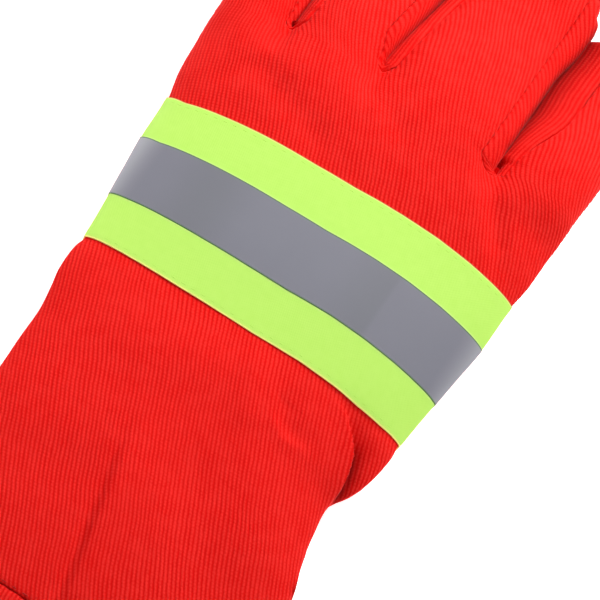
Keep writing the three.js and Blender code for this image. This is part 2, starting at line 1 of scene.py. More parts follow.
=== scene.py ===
# %% [markdown]
# # A firefighter's glove in red twill
# This lesson dresses a plain model of a left glove that lies back up, with its thumb folded under
# the palm. The plain model gives the sizes and the frame. The lesson makes each sewn piece again
# as real cloth: twill ribs, seams that roll in, puckers, a reflective band and its stitches.

# %% Load the fixed frame
import math
import bmesh
import bpy
import numpy as np
from mathutils import Matrix, Vector, noise
from mathutils.kdtree import KDTree


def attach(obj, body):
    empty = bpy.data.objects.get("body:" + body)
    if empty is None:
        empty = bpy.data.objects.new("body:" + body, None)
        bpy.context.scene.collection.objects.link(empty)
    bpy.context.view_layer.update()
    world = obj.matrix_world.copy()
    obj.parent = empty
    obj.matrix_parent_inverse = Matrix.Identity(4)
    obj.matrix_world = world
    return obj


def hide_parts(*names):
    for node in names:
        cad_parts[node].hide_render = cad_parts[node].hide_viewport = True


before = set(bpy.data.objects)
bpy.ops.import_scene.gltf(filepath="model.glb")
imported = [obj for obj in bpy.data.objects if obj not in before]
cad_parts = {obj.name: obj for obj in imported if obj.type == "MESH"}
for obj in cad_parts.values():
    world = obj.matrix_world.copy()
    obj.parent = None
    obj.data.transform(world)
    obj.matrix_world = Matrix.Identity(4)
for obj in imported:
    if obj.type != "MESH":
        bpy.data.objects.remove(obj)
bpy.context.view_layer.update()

print("nodes", sorted(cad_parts))

# %% [markdown]
# ## Sizes
# A cutter works in millimetres, so the tables here do too. `place` turns a point of the tables
# into metres in the frame of the model, whose origin is under the middle of the glove.

# %% Sizes of the glove in millimetres
LENGTH = 273.0
WIDTH = 115.0
DEPTH = 31.0
HEM_LENGTH = 13.3
HEM_THICK = 2.2
BAND_WIDTH = 50.0
STRIPE_WIDTH = 20.0
BAND_MIDDLE = 0.4855 * LENGTH
BAND_LOW = BAND_MIDDLE - BAND_WIDTH / 2.0
STRIPE_START = (BAND_WIDTH - STRIPE_WIDTH) / 2.0
STRIPE_END = STRIPE_START + STRIPE_WIDTH
BAND_BOW = 0.7
KNUCKLES = 0.645 * LENGTH
POCKET = 2.4
DIP = 1.0
REST_FLAT = 0.4
CLOTH = 1.3
FRAME_ORIGIN = np.array([-0.0912322998, 136.3655242920, 0.0])


def place(points):
    return (np.asarray(points, float) - FRAME_ORIGIN) * 0.001


def slope_of(degrees):
    return math.tan(math.radians(degrees))


print("glove", LENGTH, "x", WIDTH, "x", DEPTH, "mm")

# %% [markdown]
# ## The camera
# The photograph looks at the glove from above and a little from the cuff side, with the glove
# turned in the picture. A long lens keeps the fingers and the cuff at one scale.

# %% Camera at the photograph's angle
TILT = math.radians(28.0)
ROLL = math.radians(34.0)
DISTANCE = 900.0
PIXELS_PER_MM = 3.775
AIM = np.array([0.0, 131.0, 16.0])
AIM_PIXEL = (290.75, 272.5)

view_back = np.array([0.0, -math.sin(TILT), math.cos(TILT)])
level_right = np.array([1.0, 0.0, 0.0])
level_up = np.array([0.0, math.cos(TILT), math.sin(TILT)])
view_right = level_right * math.cos(ROLL) + level_up * math.sin(ROLL)
view_up = level_up * math.cos(ROLL) - level_right * math.sin(ROLL)
stand = AIM + view_back * DISTANCE
stand = stand - view_right * ((AIM_PIXEL[0] - 300.0) / PIXELS_PER_MM)
stand = stand + view_up * ((AIM_PIXEL[1] - 300.0) / PIXELS_PER_MM)

camera_data = bpy.data.cameras.new("photo_camera")
camera_data.sensor_width = 36.0
camera_data.lens = DISTANCE * PIXELS_PER_MM / 600.0 * 36.0
camera_data.clip_start = 0.05
camera_data.clip_end = 20.0
camera = bpy.data.objects.new("photo_camera", camera_data)
bpy.context.collection.objects.link(camera)
turn = Matrix((view_right, view_up, view_back)).transposed().to_4x4()
camera.matrix_world = Matrix.Translation(Vector(place(stand))) @ turn
bpy.context.scene.camera = camera
print("lens", round(camera_data.lens, 1), "mm")

# %% [markdown]
# ## The body of the glove
# Hand and cuff are one soft tube. Its outline and its height change along the glove, and a short
# table of sections holds them. A smooth curve runs through each column of the table.

# %% Sections of hand and cuff
# at, left, right, left edge height, right edge height, crown, floor
SECTIONS = np.array([
    (0.000, -0.443, 0.478, 0.240, 0.240, 0.440, 0.000),
    (0.050, -0.437, 0.470, 0.250, 0.250, 0.495, 0.000),
    (0.115, -0.428, 0.448, 0.274, 0.268, 0.562, 0.015),
    (0.205, -0.423, 0.415, 0.323, 0.290, 0.638, 0.040),
    (0.238, -0.424, 0.394, 0.323, 0.290, 0.650, 0.045),
    (0.267, -0.426, 0.381, 0.323, 0.297, 0.655, 0.045),
    (0.304, -0.427, 0.374, 0.332, 0.306, 0.662, 0.045),
    (0.330, -0.436, 0.407, 0.348, 0.316, 0.667, 0.035),
    (0.350, -0.445, 0.424, 0.355, 0.330, 0.672, 0.025),
    (0.378, -0.445, 0.433, 0.365, 0.355, 0.677, 0.010),
    (0.395, -0.437, 0.431, 0.361, 0.365, 0.684, 0.000),
    (0.480, -0.455, 0.455, 0.300, 0.435, 0.790, 0.000),
    (0.525, -0.466, 0.469, 0.271, 0.474, 0.834, 0.012),
    (0.575, -0.472, 0.474, 0.240, 0.516, 0.877, 0.030),
    (0.610, -0.490, 0.487, 0.240, 0.532, 0.935, 0.050),
    (0.645, -0.498, 0.491, 0.245, 0.548, 0.968, 0.060),
    (0.700, -0.505, 0.498, 0.260, 0.574, 1.000, 0.065),
])
LEFT, RIGHT, LEFT_EDGE, RIGHT_EDGE, CROWN, FLOOR = range(1, 7)


def lerp(a, b, share):
    return a + (b - a) * share


def ease(share):
    share = np.clip(share, 0.0, 1.0)
    return share * share * (3.0 - 2.0 * share)


def section(column, at):
    ats = SECTIONS[:, 0]
    values = SECTIONS[:, column]
    last = len(ats) - 1
    before = np.maximum(np.arange(last + 1) - 1, 0)
    after = np.minimum(np.arange(last + 1) + 1, last)
    slopes = (values[after] - values[before]) / (ats[after] - ats[before])
    i = np.clip(np.searchsorted(ats, at, side="left") - 1, 0, last - 1)
    span = ats[i + 1] - ats[i]
    t = np.clip((at - ats[i]) / span, 0.0, 1.5)
    return (
        (2 * t**3 - 3 * t**2 + 1) * values[i]
        + (t**3 - 2 * t**2 + t) * span * slopes[i]
        + (3 * t**2 - 2 * t**3) * values[i + 1]
        + (t**3 - t**2) * span * slopes[i + 1]
    )


knuckle_width = (section(RIGHT, 0.645) - section(LEFT, 0.645)) * WIDTH
print("width at the knuckles", round(float(knuckle_width), 1), "mm")

# %% [markdown]
# ## Folds of the back
# Worn twill keeps soft dents and ridges. Each is a short line with a breadth and a height, like
# a thumb stroke in clay. Where cloth hangs over itself there is a step: a lip on one side and a
# slow slope on the other. The sharpest step is the crease under the band on the thumb side.

# %% Soft folds and steps
# x0, y0, x1, y1 in mm from the cuff's edge, breadth, height
SOFT_FOLDS = [
    (47.7, 103.7, 47.2, 94.2, 4.0, 0.9),
    (-36.0, 44.0, -18.0, 48.0, 8.0, -0.7),
    (12.0, 62.0, 28.0, 44.0, 11.0, -1.6),
    (-24.2, 90.0, -4.0, 92.0, 10.0, 1.3),
    (6.0, 99.0, 11.0, 88.0, 5.0, 1.0),
    (27.0, 186.0, 41.0, 169.0, 3.0, -1.1),
    (-45.0, 168.0, -38.0, 176.0, 4.0, -1.2),
    (-38.0, 173.0, -15.0, 164.0, 4.5, -1.1),
    (-10.0, 187.0, 3.0, 179.0, 4.0, -0.9),
    (20.0, 181.0, 27.0, 187.0, 3.5, -0.5),
    (32.5, 183.0, 45.0, 164.0, 3.0, -0.9),
    (-30.0, 176.0, -24.0, 188.0, 3.5, 0.7),
]
# the line of a step, its depth, its width, the length of the slope beyond, lip and overhang, and
# the shares of the line where the step is full and where it starts to fade
STEPS = [
    dict(
        line=[
            (27.0, 106.0), (33.0, 104.0), (37.2, 100.2), (40.0, 96.5),
            (41.4, 92.0), (42.2, 87.5), (42.1, 83.5), (41.6, 80.0),
        ],
        depth=7.5, width=0.9, slope=3.4, lip=0.7, overhang=1.2, soon=0.5, late=0.72,
    ),
    dict(
        line=[(18.0, 104.0), (15.0, 97.0), (16.5, 91.5), (22.0, 88.0), (29.0, 88.5), (34.0, 89.0)],
        depth=1.0, width=3.2, slope=3.2, lip=0.3, overhang=0.0, soon=0.3, late=0.6,
    ),
    dict(
        line=[
            (-15.2, 76.4), (-11.7, 64.9), (-10.6, 57.4), (-8.5, 48.4),
            (-6.8, 39.2), (-4.3, 29.5), (-2.4, 20.1), (-1.1, 13.3),
        ],
        depth=-1.5, width=2.6, slope=9.0, lip=-0.5, overhang=0.0, soon=0.5, late=0.85,
    ),
]
LIP_BREADTH = 2.6


def near_line(x, y, ax, ay, bx, by):
    dx = bx - ax
    dy = by - ay
    share = np.clip(((x - ax) * dx + (y - ay) * dy) / (dx * dx + dy * dy), 0.0, 1.0)
    away_x = x - ax - dx * share
    away_y = y - ay - dy * share
    side = np.sign(dx * (y - ay) - dy * (x - ax))
    return np.hypot(away_x, away_y), share, side


def step_shape(fold, x, y):
    line = fold["line"]
    best = np.full(np.shape(x), 1e9)
    signed = np.zeros(np.shape(x))
    along = np.zeros(np.shape(x))
    for k in range(len(line) - 1):
        away, share, side = near_line(x, y, *line[k], *line[k + 1])
        closer = away < best
        best = np.where(closer, away, best)
        signed = np.where(closer, away * side, signed)
        along = np.where(closer, (k + share) / (len(line) - 1), along)
    fade = ease((along - fold["late"]) / (1.0 - fold["late"]))
    strength = ease(along / fold["soon"]) * (1.0 - fade)
    step = ease(signed / fold["width"] + 0.3)
    slope = np.exp(-((np.maximum(signed - fold["width"], 0.0) / fold["slope"]) ** 1.3))
    before = np.exp(-((np.minimum(signed, 0.0) / LIP_BREADTH) ** 2)) * (1.0 - step)
    height = strength * (fold["lip"] * before - fold["depth"] * step * slope)
    return height, strength * fold["overhang"] * before


def fold_move(x, y):
    height = np.zeros(np.shape(x))
    shift = np.zeros(np.shape(x))
    for fold in STEPS:
        down, out = step_shape(fold, x, y)
        height = height + down
        shift = shift + out
    for ax, ay, bx, by, breadth, tall in SOFT_FOLDS:
        away, _, _ = near_line(x, y, ax, ay, bx, by)
        height = height + tall * np.exp(-((away / breadth) ** 2))
    return height, shift


print("soft folds", len(SOFT_FOLDS), "and steps", len(STEPS))

# %% [markdown]
# ## A point of the tube
# `across` runs from -1 to 1 over the back or under the palm. The cross-section is a rounded
# arch, fuller under the palm. Over the folded thumb the palm lifts.

# %% Points of hand and cuff
THUMB_LEFT = 0.085 * WIDTH
THUMB_RIGHT = 0.350 * WIDTH
THUMB_ROOT = 0.502 * LENGTH
THUMB_TIP = 0.735 * LENGTH
THUMB_THICK = 0.362 * DEPTH
THUMB_WALL = 6.0
THUMB_DRAPE = 13.0
# how full the arch of the back is on its two sides, and that of the palm: 2 is an ellipse
BACK_FULL = (1.8, 2.1)
PALM_FULL = 2.8


def palm_height(x, y, low):
    along = ease((y - THUMB_ROOT) / THUMB_WALL + 0.5)
    over = ease((x - THUMB_LEFT + 2.0 + THUMB_DRAPE) / THUMB_DRAPE)
    return low + (THUMB_THICK + 1.2 - low) * along * over


def body_point(y, across, side, shrink=0.0, folds=True):
    y, across, side = np.broadcast_arrays(np.asarray(y, float), across, side)
    at = y / LENGTH
    share = (across + 1.0) / 2.0
    x = lerp(section(LEFT, at) * WIDTH + shrink, section(RIGHT, at) * WIDTH - shrink, share)
    edge = lerp(section(LEFT_EDGE, at), section(RIGHT_EDGE, at), share) * DEPTH
    crown = section(CROWN, at) * DEPTH - shrink
    low = np.maximum(0.0, section(FLOOR, at) * DEPTH)
    floor = palm_height(x, y, low) + shrink
    full = np.where(side > 0, lerp(*BACK_FULL, ease(share)), PALM_FULL)
    swell = np.maximum(0.0, 1.0 - np.abs(across) ** full) ** (1.0 / full)
    reach = np.where(side > 0, crown, np.minimum(floor - REST_FLAT, edge))
    z = edge + (reach - edge) * swell
    if folds:
        height, shift = fold_move(x, y)
        z = z + np.where(side > 0, height * swell**0.7, 0.0)
        x = x + np.where(side > 0, shift * swell, 0.0)
    return np.stack([x, y, np.maximum(shrink, z)], axis=-1)


print("crown over the knuckles", np.round(body_point(KNUCKLES, 0.0, 1), 1))

# %% [markdown]
# ## Fingers
# Each finger is a flattened tube with a rounded end. The seams run along it at set angles, and
# close to its widest line at the fingertip, where back and palm meet.

# %% Table of the fingers
# left, right of WIDTH, lean of both sides, reach of LENGTH, rise, thickness at root and tip,
# upper seams left and right: degrees round the finger at the root, further on, and how soon
FINGERS = [
    dict(left=-0.503, right=-0.324, lean=(-4.5, -1.5), reach=0.919, rise=0.330, thick=0.560, tip=0.470,
         seams=((190, 190, 0.45), (40, 42, 0.45))),
    dict(left=-0.313, right=-0.093, lean=(4.0, 7.0), reach=0.985, rise=0.580, thick=0.580, tip=0.500,
         seams=((158, 150, 0.45), (36, 58, 0.15))),
    dict(left=-0.083, right=0.263, lean=(7.5, 2.0), reach=1.000, rise=0.690, thick=0.590, tip=0.510,
         seams=((158, 160, 0.45), (45, 46, 0.45))),
    dict(left=0.275, right=0.494, lean=(3.2, 4.8), reach=0.957, rise=0.650, thick=0.510, tip=0.480,
         seams=((149, 112, 0.45), (-10, -10, 0.45))),
]
CROTCHES = np.array([0.705, 0.707, 0.713, 0.680, 0.697]) * LENGTH
FULL = 2.2
TAPER = 0.06
# degrees round a finger: how far the outer side seams lie below its widest line, and the palm's
# seams; and where along the finger back and palm start to close, and how soon they meet
OUTER_SEAM = 10.0
PALM_SEAMS = (220.0, -40.0)
CLOSE_START = 1.12
CLOSE_LENGTH = 0.42


def across_of(degrees):
    c = np.cos(np.radians(degrees))
    s = np.sin(np.radians(degrees))
    a = np.abs(c) ** (2.0 / FULL)
    b = np.abs(s) ** (2.0 / FULL)
    return np.sign(c) * a / (a**FULL + b**FULL) ** (1.0 / FULL)


def finger_start(i):
    finger = FINGERS[i]
    return finger["reach"] * LENGTH - 0.85 * (finger["right"] - finger["left"]) * WIDTH * 0.5


def finger_point(i, y, across, beyond, side, crotch):
    finger = FINGERS[i]
    start = finger_start(i)
    lean = [slope_of(degrees) for degrees in finger["lean"]]
    along = np.minimum(y, start) - CROTCHES[2]
    half = ((finger["right"] - finger["left"]) * WIDTH + (lean[1] - lean[0]) * along) / 2.0
    middle = ((finger["left"] + finger["right"]) * WIDTH + (lean[0] + lean[1]) * (y - CROTCHES[2])) / 2.0
    t = np.clip((y - crotch) / (start - crotch), 0.0, 1.0)
    half = half * (1.0 - TAPER * t * t)
    thick = lerp(finger["thick"], finger["tip"], t) * DEPTH
    rise = lerp(finger["rise"] * DEPTH, finger["tip"] * DEPTH * 0.5 - 0.4, ease((t - 0.05) / 0.9))
    reach = np.minimum(1.0, (across * across + beyond * beyond) ** (FULL / 2.0))
    z = rise + side * thick * 0.5 * (1.0 - reach) ** (1.0 / FULL)
    x = middle + half * across
    return np.stack([x, np.broadcast_to(y, x.shape), np.maximum(0.0, z)], axis=-1)


def seam_angle(i, edge, upper, t):
    finger = FINGERS[i]
    is_left = edge == "left"
    flat = 180.0 if is_left else 0.0
    if (is_left and i == 0) or (not is_left and i == 3):
        return flat + (OUTER_SEAM if is_left else -OUTER_SEAM) * (1.0 - ease((t - 0.4) / 0.6))
    closing = ease((t - CLOSE_START) / CLOSE_LENGTH)
    if upper:
        root, middle, soon = finger["seams"][0 if is_left else 1]
        return lerp(lerp(root, middle, ease(t / soon)), flat, closing)
    return lerp(PALM_SEAMS[0 if is_left else 1], flat, closing)


def finger_angle(i, share, upper, t):
    start = seam_angle(i, "left", upper, t)
    end = seam_angle(i, "right", upper, t)
    if not upper:
        end = end + 360.0
    return lerp(start, end, share)


def crotch_line(i, share):
    left = CROTCHES[i] + (0.0 if i == 0 else POCKET)
    right = CROTCHES[i + 1] + (0.0 if i == 3 else POCKET)
    return lerp(left, right, share)


def tube_point(i, degrees, share, t):
    degrees, share, t = np.broadcast_arrays(np.asarray(degrees, float), share, t)
    crotch = crotch_line(i, share)
    y = lerp(crotch, finger_start(i), t)
    side = np.where(np.mod(degrees, 360.0) > 180.0, -1.0, 1.0)
    return finger_point(i, y, across_of(degrees), 0.0, side, crotch)


def tip_point(i, degrees, share, t):
    degrees, share, t = np.broadcast_arrays(np.asarray(degrees, float), share, t)
    start = finger_start(i)
    length = FINGERS[i]["reach"] * LENGTH - start
    bend = np.radians(lerp(90.0, 30.0, t))
    across = across_of(degrees) * np.sin(bend)
    rim = np.sqrt(1.0 - across * across)
    beyond = lerp(np.cos(bend), rim, t)
    y = start + length * beyond
    side = np.where(np.mod(degrees, 360.0) > 180.0, -1.0, 1.0)
    return finger_point(i, y, across, beyond, side, crotch_line(i, share))


for i, name in enumerate(["little", "ring", "middle", "index"]):
    print(name, "finger", round(FINGERS[i]["reach"] * LENGTH - CROTCHES[i], 1), "mm long")

# %% [markdown]
# ## One grid for the body, one for each finger
# A sewn panel is cut from flat cloth, so it is modelled as a grid that a function bends. Columns
# run from the cuff into the fingers. They are close together beside the seams, where cloth rolls
# in, and rows are close together at the crease and at the finger roots.

# %% Columns and rows of a panel
BESIDE_SEAM = np.array([0.25, 0.6, 1.05])


def shares_of(cells, arc):
    even = np.linspace(0.0, 1.0, cells + 1)
    close = BESIDE_SEAM / arc
    return np.unique(np.round(np.concatenate([even, close, 1.0 - close]), 6))


def panel_columns(cells, arcs, crotch_cells):
    columns = []
    for i in range(4):
        for share in shares_of(cells[i], arcs[i]):
            columns.append(("finger", i, float(share)))
        if i < 3:
            for k in range(1, crotch_cells):
                columns.append(("crotch", i, k / crotch_cells))
    return columns


def root_point(column, upper):
    kind, i, share = column
    if kind == "finger":
        return tube_point(i, finger_angle(i, share, upper, 0.0), share, 0.0)
    a = root_point(("finger", i, 1.0), upper)
    b = root_point(("finger", i + 1, 0.0), upper)
    point = lerp(a, b, share)
    depth = math.sin(math.pi * share)
    point[1] -= POCKET * depth
    point[2] -= (DIP if upper else -DIP) * depth
    return point


def column_across(column, upper):
    root = root_point(column, upper)
    left = section(LEFT, root[1] / LENGTH) * WIDTH
    right = section(RIGHT, root[1] / LENGTH) * WIDTH
    across = (root[0] - left) / (right - left) * 2.0 - 1.0
    limit = 0.998
    if column[0] == "finger" and column[1] in (0, 3):
        angle = float(finger_angle(column[1], column[2], upper, 0.0))
        flat = 180.0 if column[1] == 0 else (0.0 if upper else 360.0)
        limit = 1.0 - 0.002 * min(1.0, abs(angle - flat) / OUTER_SEAM)
    return float(min(limit, max(-limit, across)))


def column_side(column, upper):
    if column[0] == "crotch":
        return 1.0 if upper else -1.0
    angle = float(finger_angle(column[1], column[2], upper, 0.0)) % 360.0
    return -1.0 if angle > 180.0 else 1.0


def rows_between(stops):
    rows = [stops[0][0]]
    for (start, _), (end, step) in zip(stops, stops[1:]):
        count = max(1, round((end - start) / step))
        rows.extend(np.linspace(start, end, count + 1)[1:])
    return np.array(rows)


def bow(y, across):
    return BAND_BOW * np.clip((y - BAND_LOW) / BAND_WIDTH, 0.0, 1.0) * across * across


def body_column(column, upper, rows, knuckle_rows, plain=False):
    across = column_across(column, upper)
    side = column_side(column, upper)
    root = root_point(column, upper)
    y = rows + bow(rows, across)
    t = np.arange(1, knuckle_rows + 1) / knuckle_rows
    if plain:
        return body_point(np.concatenate([y, lerp(y[-1], root[1], t)]), across, side, folds=False)
    points = body_point(y, across, side)
    last = body_point(lerp(y[-1], root[1], t), across, side)
    last[:, 0] = lerp(last[:, 0], root[0], t)
    last[:, 2] = lerp(last[:, 2], root[2], ease(t))
    return np.concatenate([points, last])


def body_grid(columns, upper, rows, knuckle_rows, plain=False):
    return np.stack([body_column(c, upper, rows, knuckle_rows, plain) for c in columns], axis=1)


def finger_columns(columns, i):
    return [k for k, c in enumerate(columns) if c[0] == "finger" and c[1] == i]


def finger_grid(columns, i, upper):
    share = np.array([columns[k][2] for k in finger_columns(columns, i)])[None, :]
    t = TUBE_ROWS[:, None]
    tube = tube_point(i, finger_angle(i, share, upper, t), share, t)
    t = TIP_ROWS[1:, None]
    tip = tip_point(i, finger_angle(i, share, upper, 1.0 + t), share, t)
    return np.concatenate([tube, tip])


BACK_CELLS = (22, 26, 36, 56)
PALM_CELLS = (15, 20, 30, 25)
FINGER_ARCS = (27.0, 27.0, 40.0, 30.0)
BACK_KNUCKLE_ROWS = 18
PALM_KNUCKLE_ROWS = 12
back_columns = panel_columns(BACK_CELLS, FINGER_ARCS, 6)
palm_columns = panel_columns(PALM_CELLS, FINGER_ARCS, 4)
BACK_ROWS = rows_between([
    (HEM_LENGTH, 0), (15.0, 0.4), (78.0, 1.5), (107.5, 0.55), (160.0, 1.6), (KNUCKLES, 1.1),
])
PALM_ROWS = rows_between([
    (HEM_LENGTH, 0), (15.0, 0.6), (THUMB_ROOT - 3.0, 2.0), (THUMB_ROOT + 3.0, 1.0), (KNUCKLES, 1.5),
])
TUBE_ROWS = np.concatenate([np.linspace(0.0, 0.2, 15), np.linspace(0.2, 1.0, 37)[1:]])
TIP_ROWS = np.linspace(0.0, 1.0, 13)
back_body = body_grid(back_columns, True, BACK_ROWS, BACK_KNUCKLE_ROWS)
palm_body = body_grid(palm_columns, False, PALM_ROWS, PALM_KNUCKLE_ROWS)
print("back grid", back_body.shape, "palm grid", palm_body.shape)

# %% [markdown]
# ## Where the cloth lies flat
# Ribs of twill follow the cloth, not the room, so each panel carries its own flat map in
# millimetres: u across and v along, both measured on the surface.

# %% Flat maps of the panels


def arc_along(points, axis):
    steps = np.linalg.norm(np.diff(points, axis=axis), axis=-1)
    start = np.zeros_like(np.take(steps, [0], axis=axis))
    return np.concatenate([start, np.cumsum(steps, axis=axis)], axis=axis)


def flat_map(points, middle, u_start=None, v_start=0.0):
    across = arc_along(points, 1)
    u = across - across[:, [middle]]
    shift = points[:, middle, 0]
    u = u + (shift if u_start is None else shift - shift[0] + u_start)[:, None]
    v = arc_along(points, 0) + v_start
    return np.stack([u, v], axis=-1)


middle_back = int(np.argmin([abs(column_across(c, True)) for c in back_columns]))
middle_palm = int(np.argmin([abs(column_across(c, False)) for c in palm_columns]))
back_plain = body_grid(back_columns, True, BACK_ROWS, BACK_KNUCKLE_ROWS, plain=True)
palm_plain = body_grid(palm_columns, False, PALM_ROWS, PALM_KNUCKLE_ROWS, plain=True)
back_flat = flat_map(back_plain, middle_back)
palm_flat = flat_map(palm_plain, middle_palm)
print("cloth across the knuckles", round(float(np.ptp(back_flat[-1, :, 0])), 1), "mm")

# %% [markdown]
# ## Where the ribs run
# The ribs of the twill lean to the little finger. A slow turn of the grain over the cuff and the
# hand, and another in each finger, repeats how the panels lie. The map that a sheet carries is
# then p across the ribs and q along them, in millimetres.

# %% Lean of the ribs
# along the cloth in mm, then how far the ribs lean there in degrees
GRAIN = np.array([
    (0.0, 26.5), (45.0, 26.0), (85.0, 21.5), (110.0, 22.0), (150.0, 23.0), (200.0, 24.5), (300.0, 24.5),
])
GRAIN_LEAN = 24.0
GRAIN_COS = math.cos(math.radians(GRAIN_LEAN))
GRAIN_SIN = math.sin(math.radians(GRAIN_LEAN))
GRAIN_SPREAD = 0.0006
ROOT_LEAN = 24.5
FINGER_GRAIN = (20.0, 18.0, 13.5, 9.0)
FINGER_TURN = 12.0
# at the little finger the ribs stand up: how much, from where across and along, and how soon
LITTLE_TURN = 0.42
LITTLE_ACROSS = -2.0
LITTLE_ALONG = 177.0
LITTLE_SOON = 30.0
grain_v = np.linspace(0.0, 300.0, 601)
grain_tan = np.tan(np.radians(np.interp(grain_v, GRAIN[:, 0], GRAIN[:, 1])))
grain_sum = np.concatenate([[0.0], np.cumsum((grain_tan[1:] + grain_tan[:-1]) * 0.25)])


def rib_map(flat):
    u = flat[..., 0]
    v = flat[..., 1]
    even = u - GRAIN_SPREAD * u * u
    straighten = ease((LITTLE_ACROSS - u) / LITTLE_SOON) * np.maximum(0.0, v - LITTLE_ALONG)
    p = GRAIN_COS * (even + np.interp(v, grain_v, grain_sum) + LITTLE_TURN * straighten)
    q = v * GRAIN_COS - u * GRAIN_SIN
    return np.stack([p, q], axis=-1)


def finger_rib_map(i, grid_flat, root_map, middle):
    u = grid_flat[..., 0] - grid_flat[0, middle, 0]
    v = grid_flat[..., 1] - grid_flat[0, :, 1][None, :]
    start = slope_of(ROOT_LEAN)
    lean = slope_of(FINGER_GRAIN[i])
    near = v * start + (lean - start) * v * v / (2.0 * FINGER_TURN)
    far = FINGER_TURN * (lean + start) / 2.0 + (v - FINGER_TURN) * lean
    turned = np.where(v < FINGER_TURN, near, far)
    wide = lerp(1.0, math.cos(math.radians(FINGER_GRAIN[i])) / GRAIN_COS, ease(v / 16.0))
    across = root_map[None, :, 0] - root_map[middle, 0]
    spread = u - u[[0]]
    p = root_map[middle, 0] + (across + GRAIN_COS * spread) * wide + GRAIN_COS * turned
    q = root_map[None, :, 1] + v
    return np.stack([p, q], axis=-1)


back_ribs = rib_map(back_flat)
palm_ribs = rib_map(palm_flat)
print("ribs across the knuckles", round(float(np.ptp(back_ribs[-1, :, 0])), 1), "mm")

# %% [markdown]
# ## Sheets of cloth
# `lay_grid` makes Blender's own grid and moves each corner to its place, and writes a second map,
# shade, that holds painted shade for the twill. The finger grids share their first row with the
# body, and `remove_doubles` sews the two together.

# %% Lay a grid of cloth
SAME_POINT = 2e-6
# how sharply the painted shade gathers beside the crease's lip
SHADE_POWER = 2.2


def lay_grid(bm, points, flat, shade=None):
    rows, cols = points.shape[:2]
    made = bmesh.ops.create_grid(bm, x_segments=cols - 1, y_segments=rows - 1, size=1.0)["verts"]
    layers = bm.loops.layers.uv
    cloth_map = layers.get("cloth") or layers.new("cloth")
    shade_map = layers.get("shade") or layers.new("shade")
    metres = place(points)
    faces = set()
    for vert in made:
        col = round((vert.co.x + 1.0) / 2.0 * (cols - 1))
        row = round((vert.co.y + 1.0) / 2.0 * (rows - 1))
        vert.co = metres[row, col]
        for loop in vert.link_loops:
            loop[cloth_map].uv = flat[row, col]
            loop[shade_map].uv = (0.0 if shade is None else shade[row, col], 0.0)
            faces.add(loop.face)
    return made, list(faces)


def lay_sheet(points, flat, shade=None):
    bm = bmesh.new()
    lay_grid(bm, points, flat, shade)
    bmesh.ops.remove_doubles(bm, verts=bm.verts, dist=SAME_POINT)
    return bm


# painted shade: the depth of the crease under the band becomes a dark tint on the back's shade map
def crease_shade(body):
    deep, _ = step_shape(STEPS[0], body[..., 0], body[..., 1])
    return np.clip(-deep / STEPS[0]["depth"], 0.0, 1.0) ** SHADE_POWER


def lay_panel(columns, body, flat, ribs, upper):
    bm = bmesh.new()
    lay_grid(bm, body, ribs, crease_shade(body) if upper else None)
    for i in range(4):
        ids = finger_columns(columns, i)
        middle = len(ids) // 2
        grid = finger_grid(columns, i, upper)
        grid_flat = flat_map(grid, middle, flat[-1, ids[middle], 0])
        grid_flat[..., 1] += flat[-1, ids, 1][None, :]
        lay_grid(bm, grid, finger_rib_map(i, grid_flat, ribs[-1, ids], middle))
    bmesh.ops.remove_doubles(bm, verts=bm.verts, dist=SAME_POINT)
    if not upper:
        bmesh.ops.reverse_faces(bm, faces=bm.faces)
    return bm


back_bm = lay_panel(back_columns, back_body, back_flat, back_ribs, True)
palm_bm = lay_panel(palm_columns, palm_body, palm_flat, palm_ribs, False)
print("back faces", len(back_bm.faces), "palm faces", len(palm_bm.faces))

# %% [markdown]
# ## The thumb hole
# The thumb leaves the palm through a flat slot where the palm lifts. The faces of the slot are
# deleted, and their border is kept as the first ring of the thumb.

# %% Open the palm for the thumb
low_row = int(np.argmin(abs(PALM_ROWS - (THUMB_ROOT - 3.0))))
high_row = int(np.argmin(abs(PALM_ROWS - (THUMB_ROOT + 3.0))))
from_col = palm_columns.index(("finger", 2, 0.6))
to_col = palm_columns.index(("finger", 3, 0.4))
rim = np.concatenate([
    palm_body[low_row, from_col:to_col],
    palm_body[low_row:high_row, to_col],
    palm_body[high_row, to_col:from_col:-1],
    palm_body[high_row:low_row:-1, from_col],
])
corners = place(np.array([rim.min(axis=0), rim.max(axis=0)]))
hole_faces = []
for face in palm_bm.faces:
    middle = face.calc_center_median()
    inside = all(corners[0][k] - 1e-5 < middle[k] < corners[1][k] + 1e-5 for k in (0, 1))
    if inside:
        hole_faces.append(face)
bmesh.ops.delete(palm_bm, geom=hole_faces, context="FACES")
print("slot of", len(hole_faces), "faces,", len(rim), "points round it")

# %% [markdown]
# ## The strips between the fingers
# A narrow strip, the fourchette, runs down one finger, round the crotch and up the next. It
# joins back and palm, so its long edges repeat their seams.

# %% Lay the fourchettes
# where the walls start and stop to touch, in mm from the crotch, and the left wall's share of the
# gap near the crotch and further out
TOUCH = [
    (0.2, 1.8, 20.0, 36.0, 0.5, 0.5),
    (0.2, 1.8, 40.0, 58.0, -0.25, 0.0),
    (7.5, 8.6, 66.0, 79.0, 0.03, 0.46),
]
# how far the middle of each strip comes forward at its crotch, as a share of the pocket
WEB = (0.4, 0.9, 0.15)
STRIP_LEAN = (-24.0, -3.0)
STRIP_SQUEEZE = 0.85
close_rows = [0.03, 0.08, 0.16, 0.84, 0.92, 0.97]
STRIP_ROWS = np.unique(np.round(np.concatenate([np.linspace(0.0, 1.0, 9), close_rows]), 4))


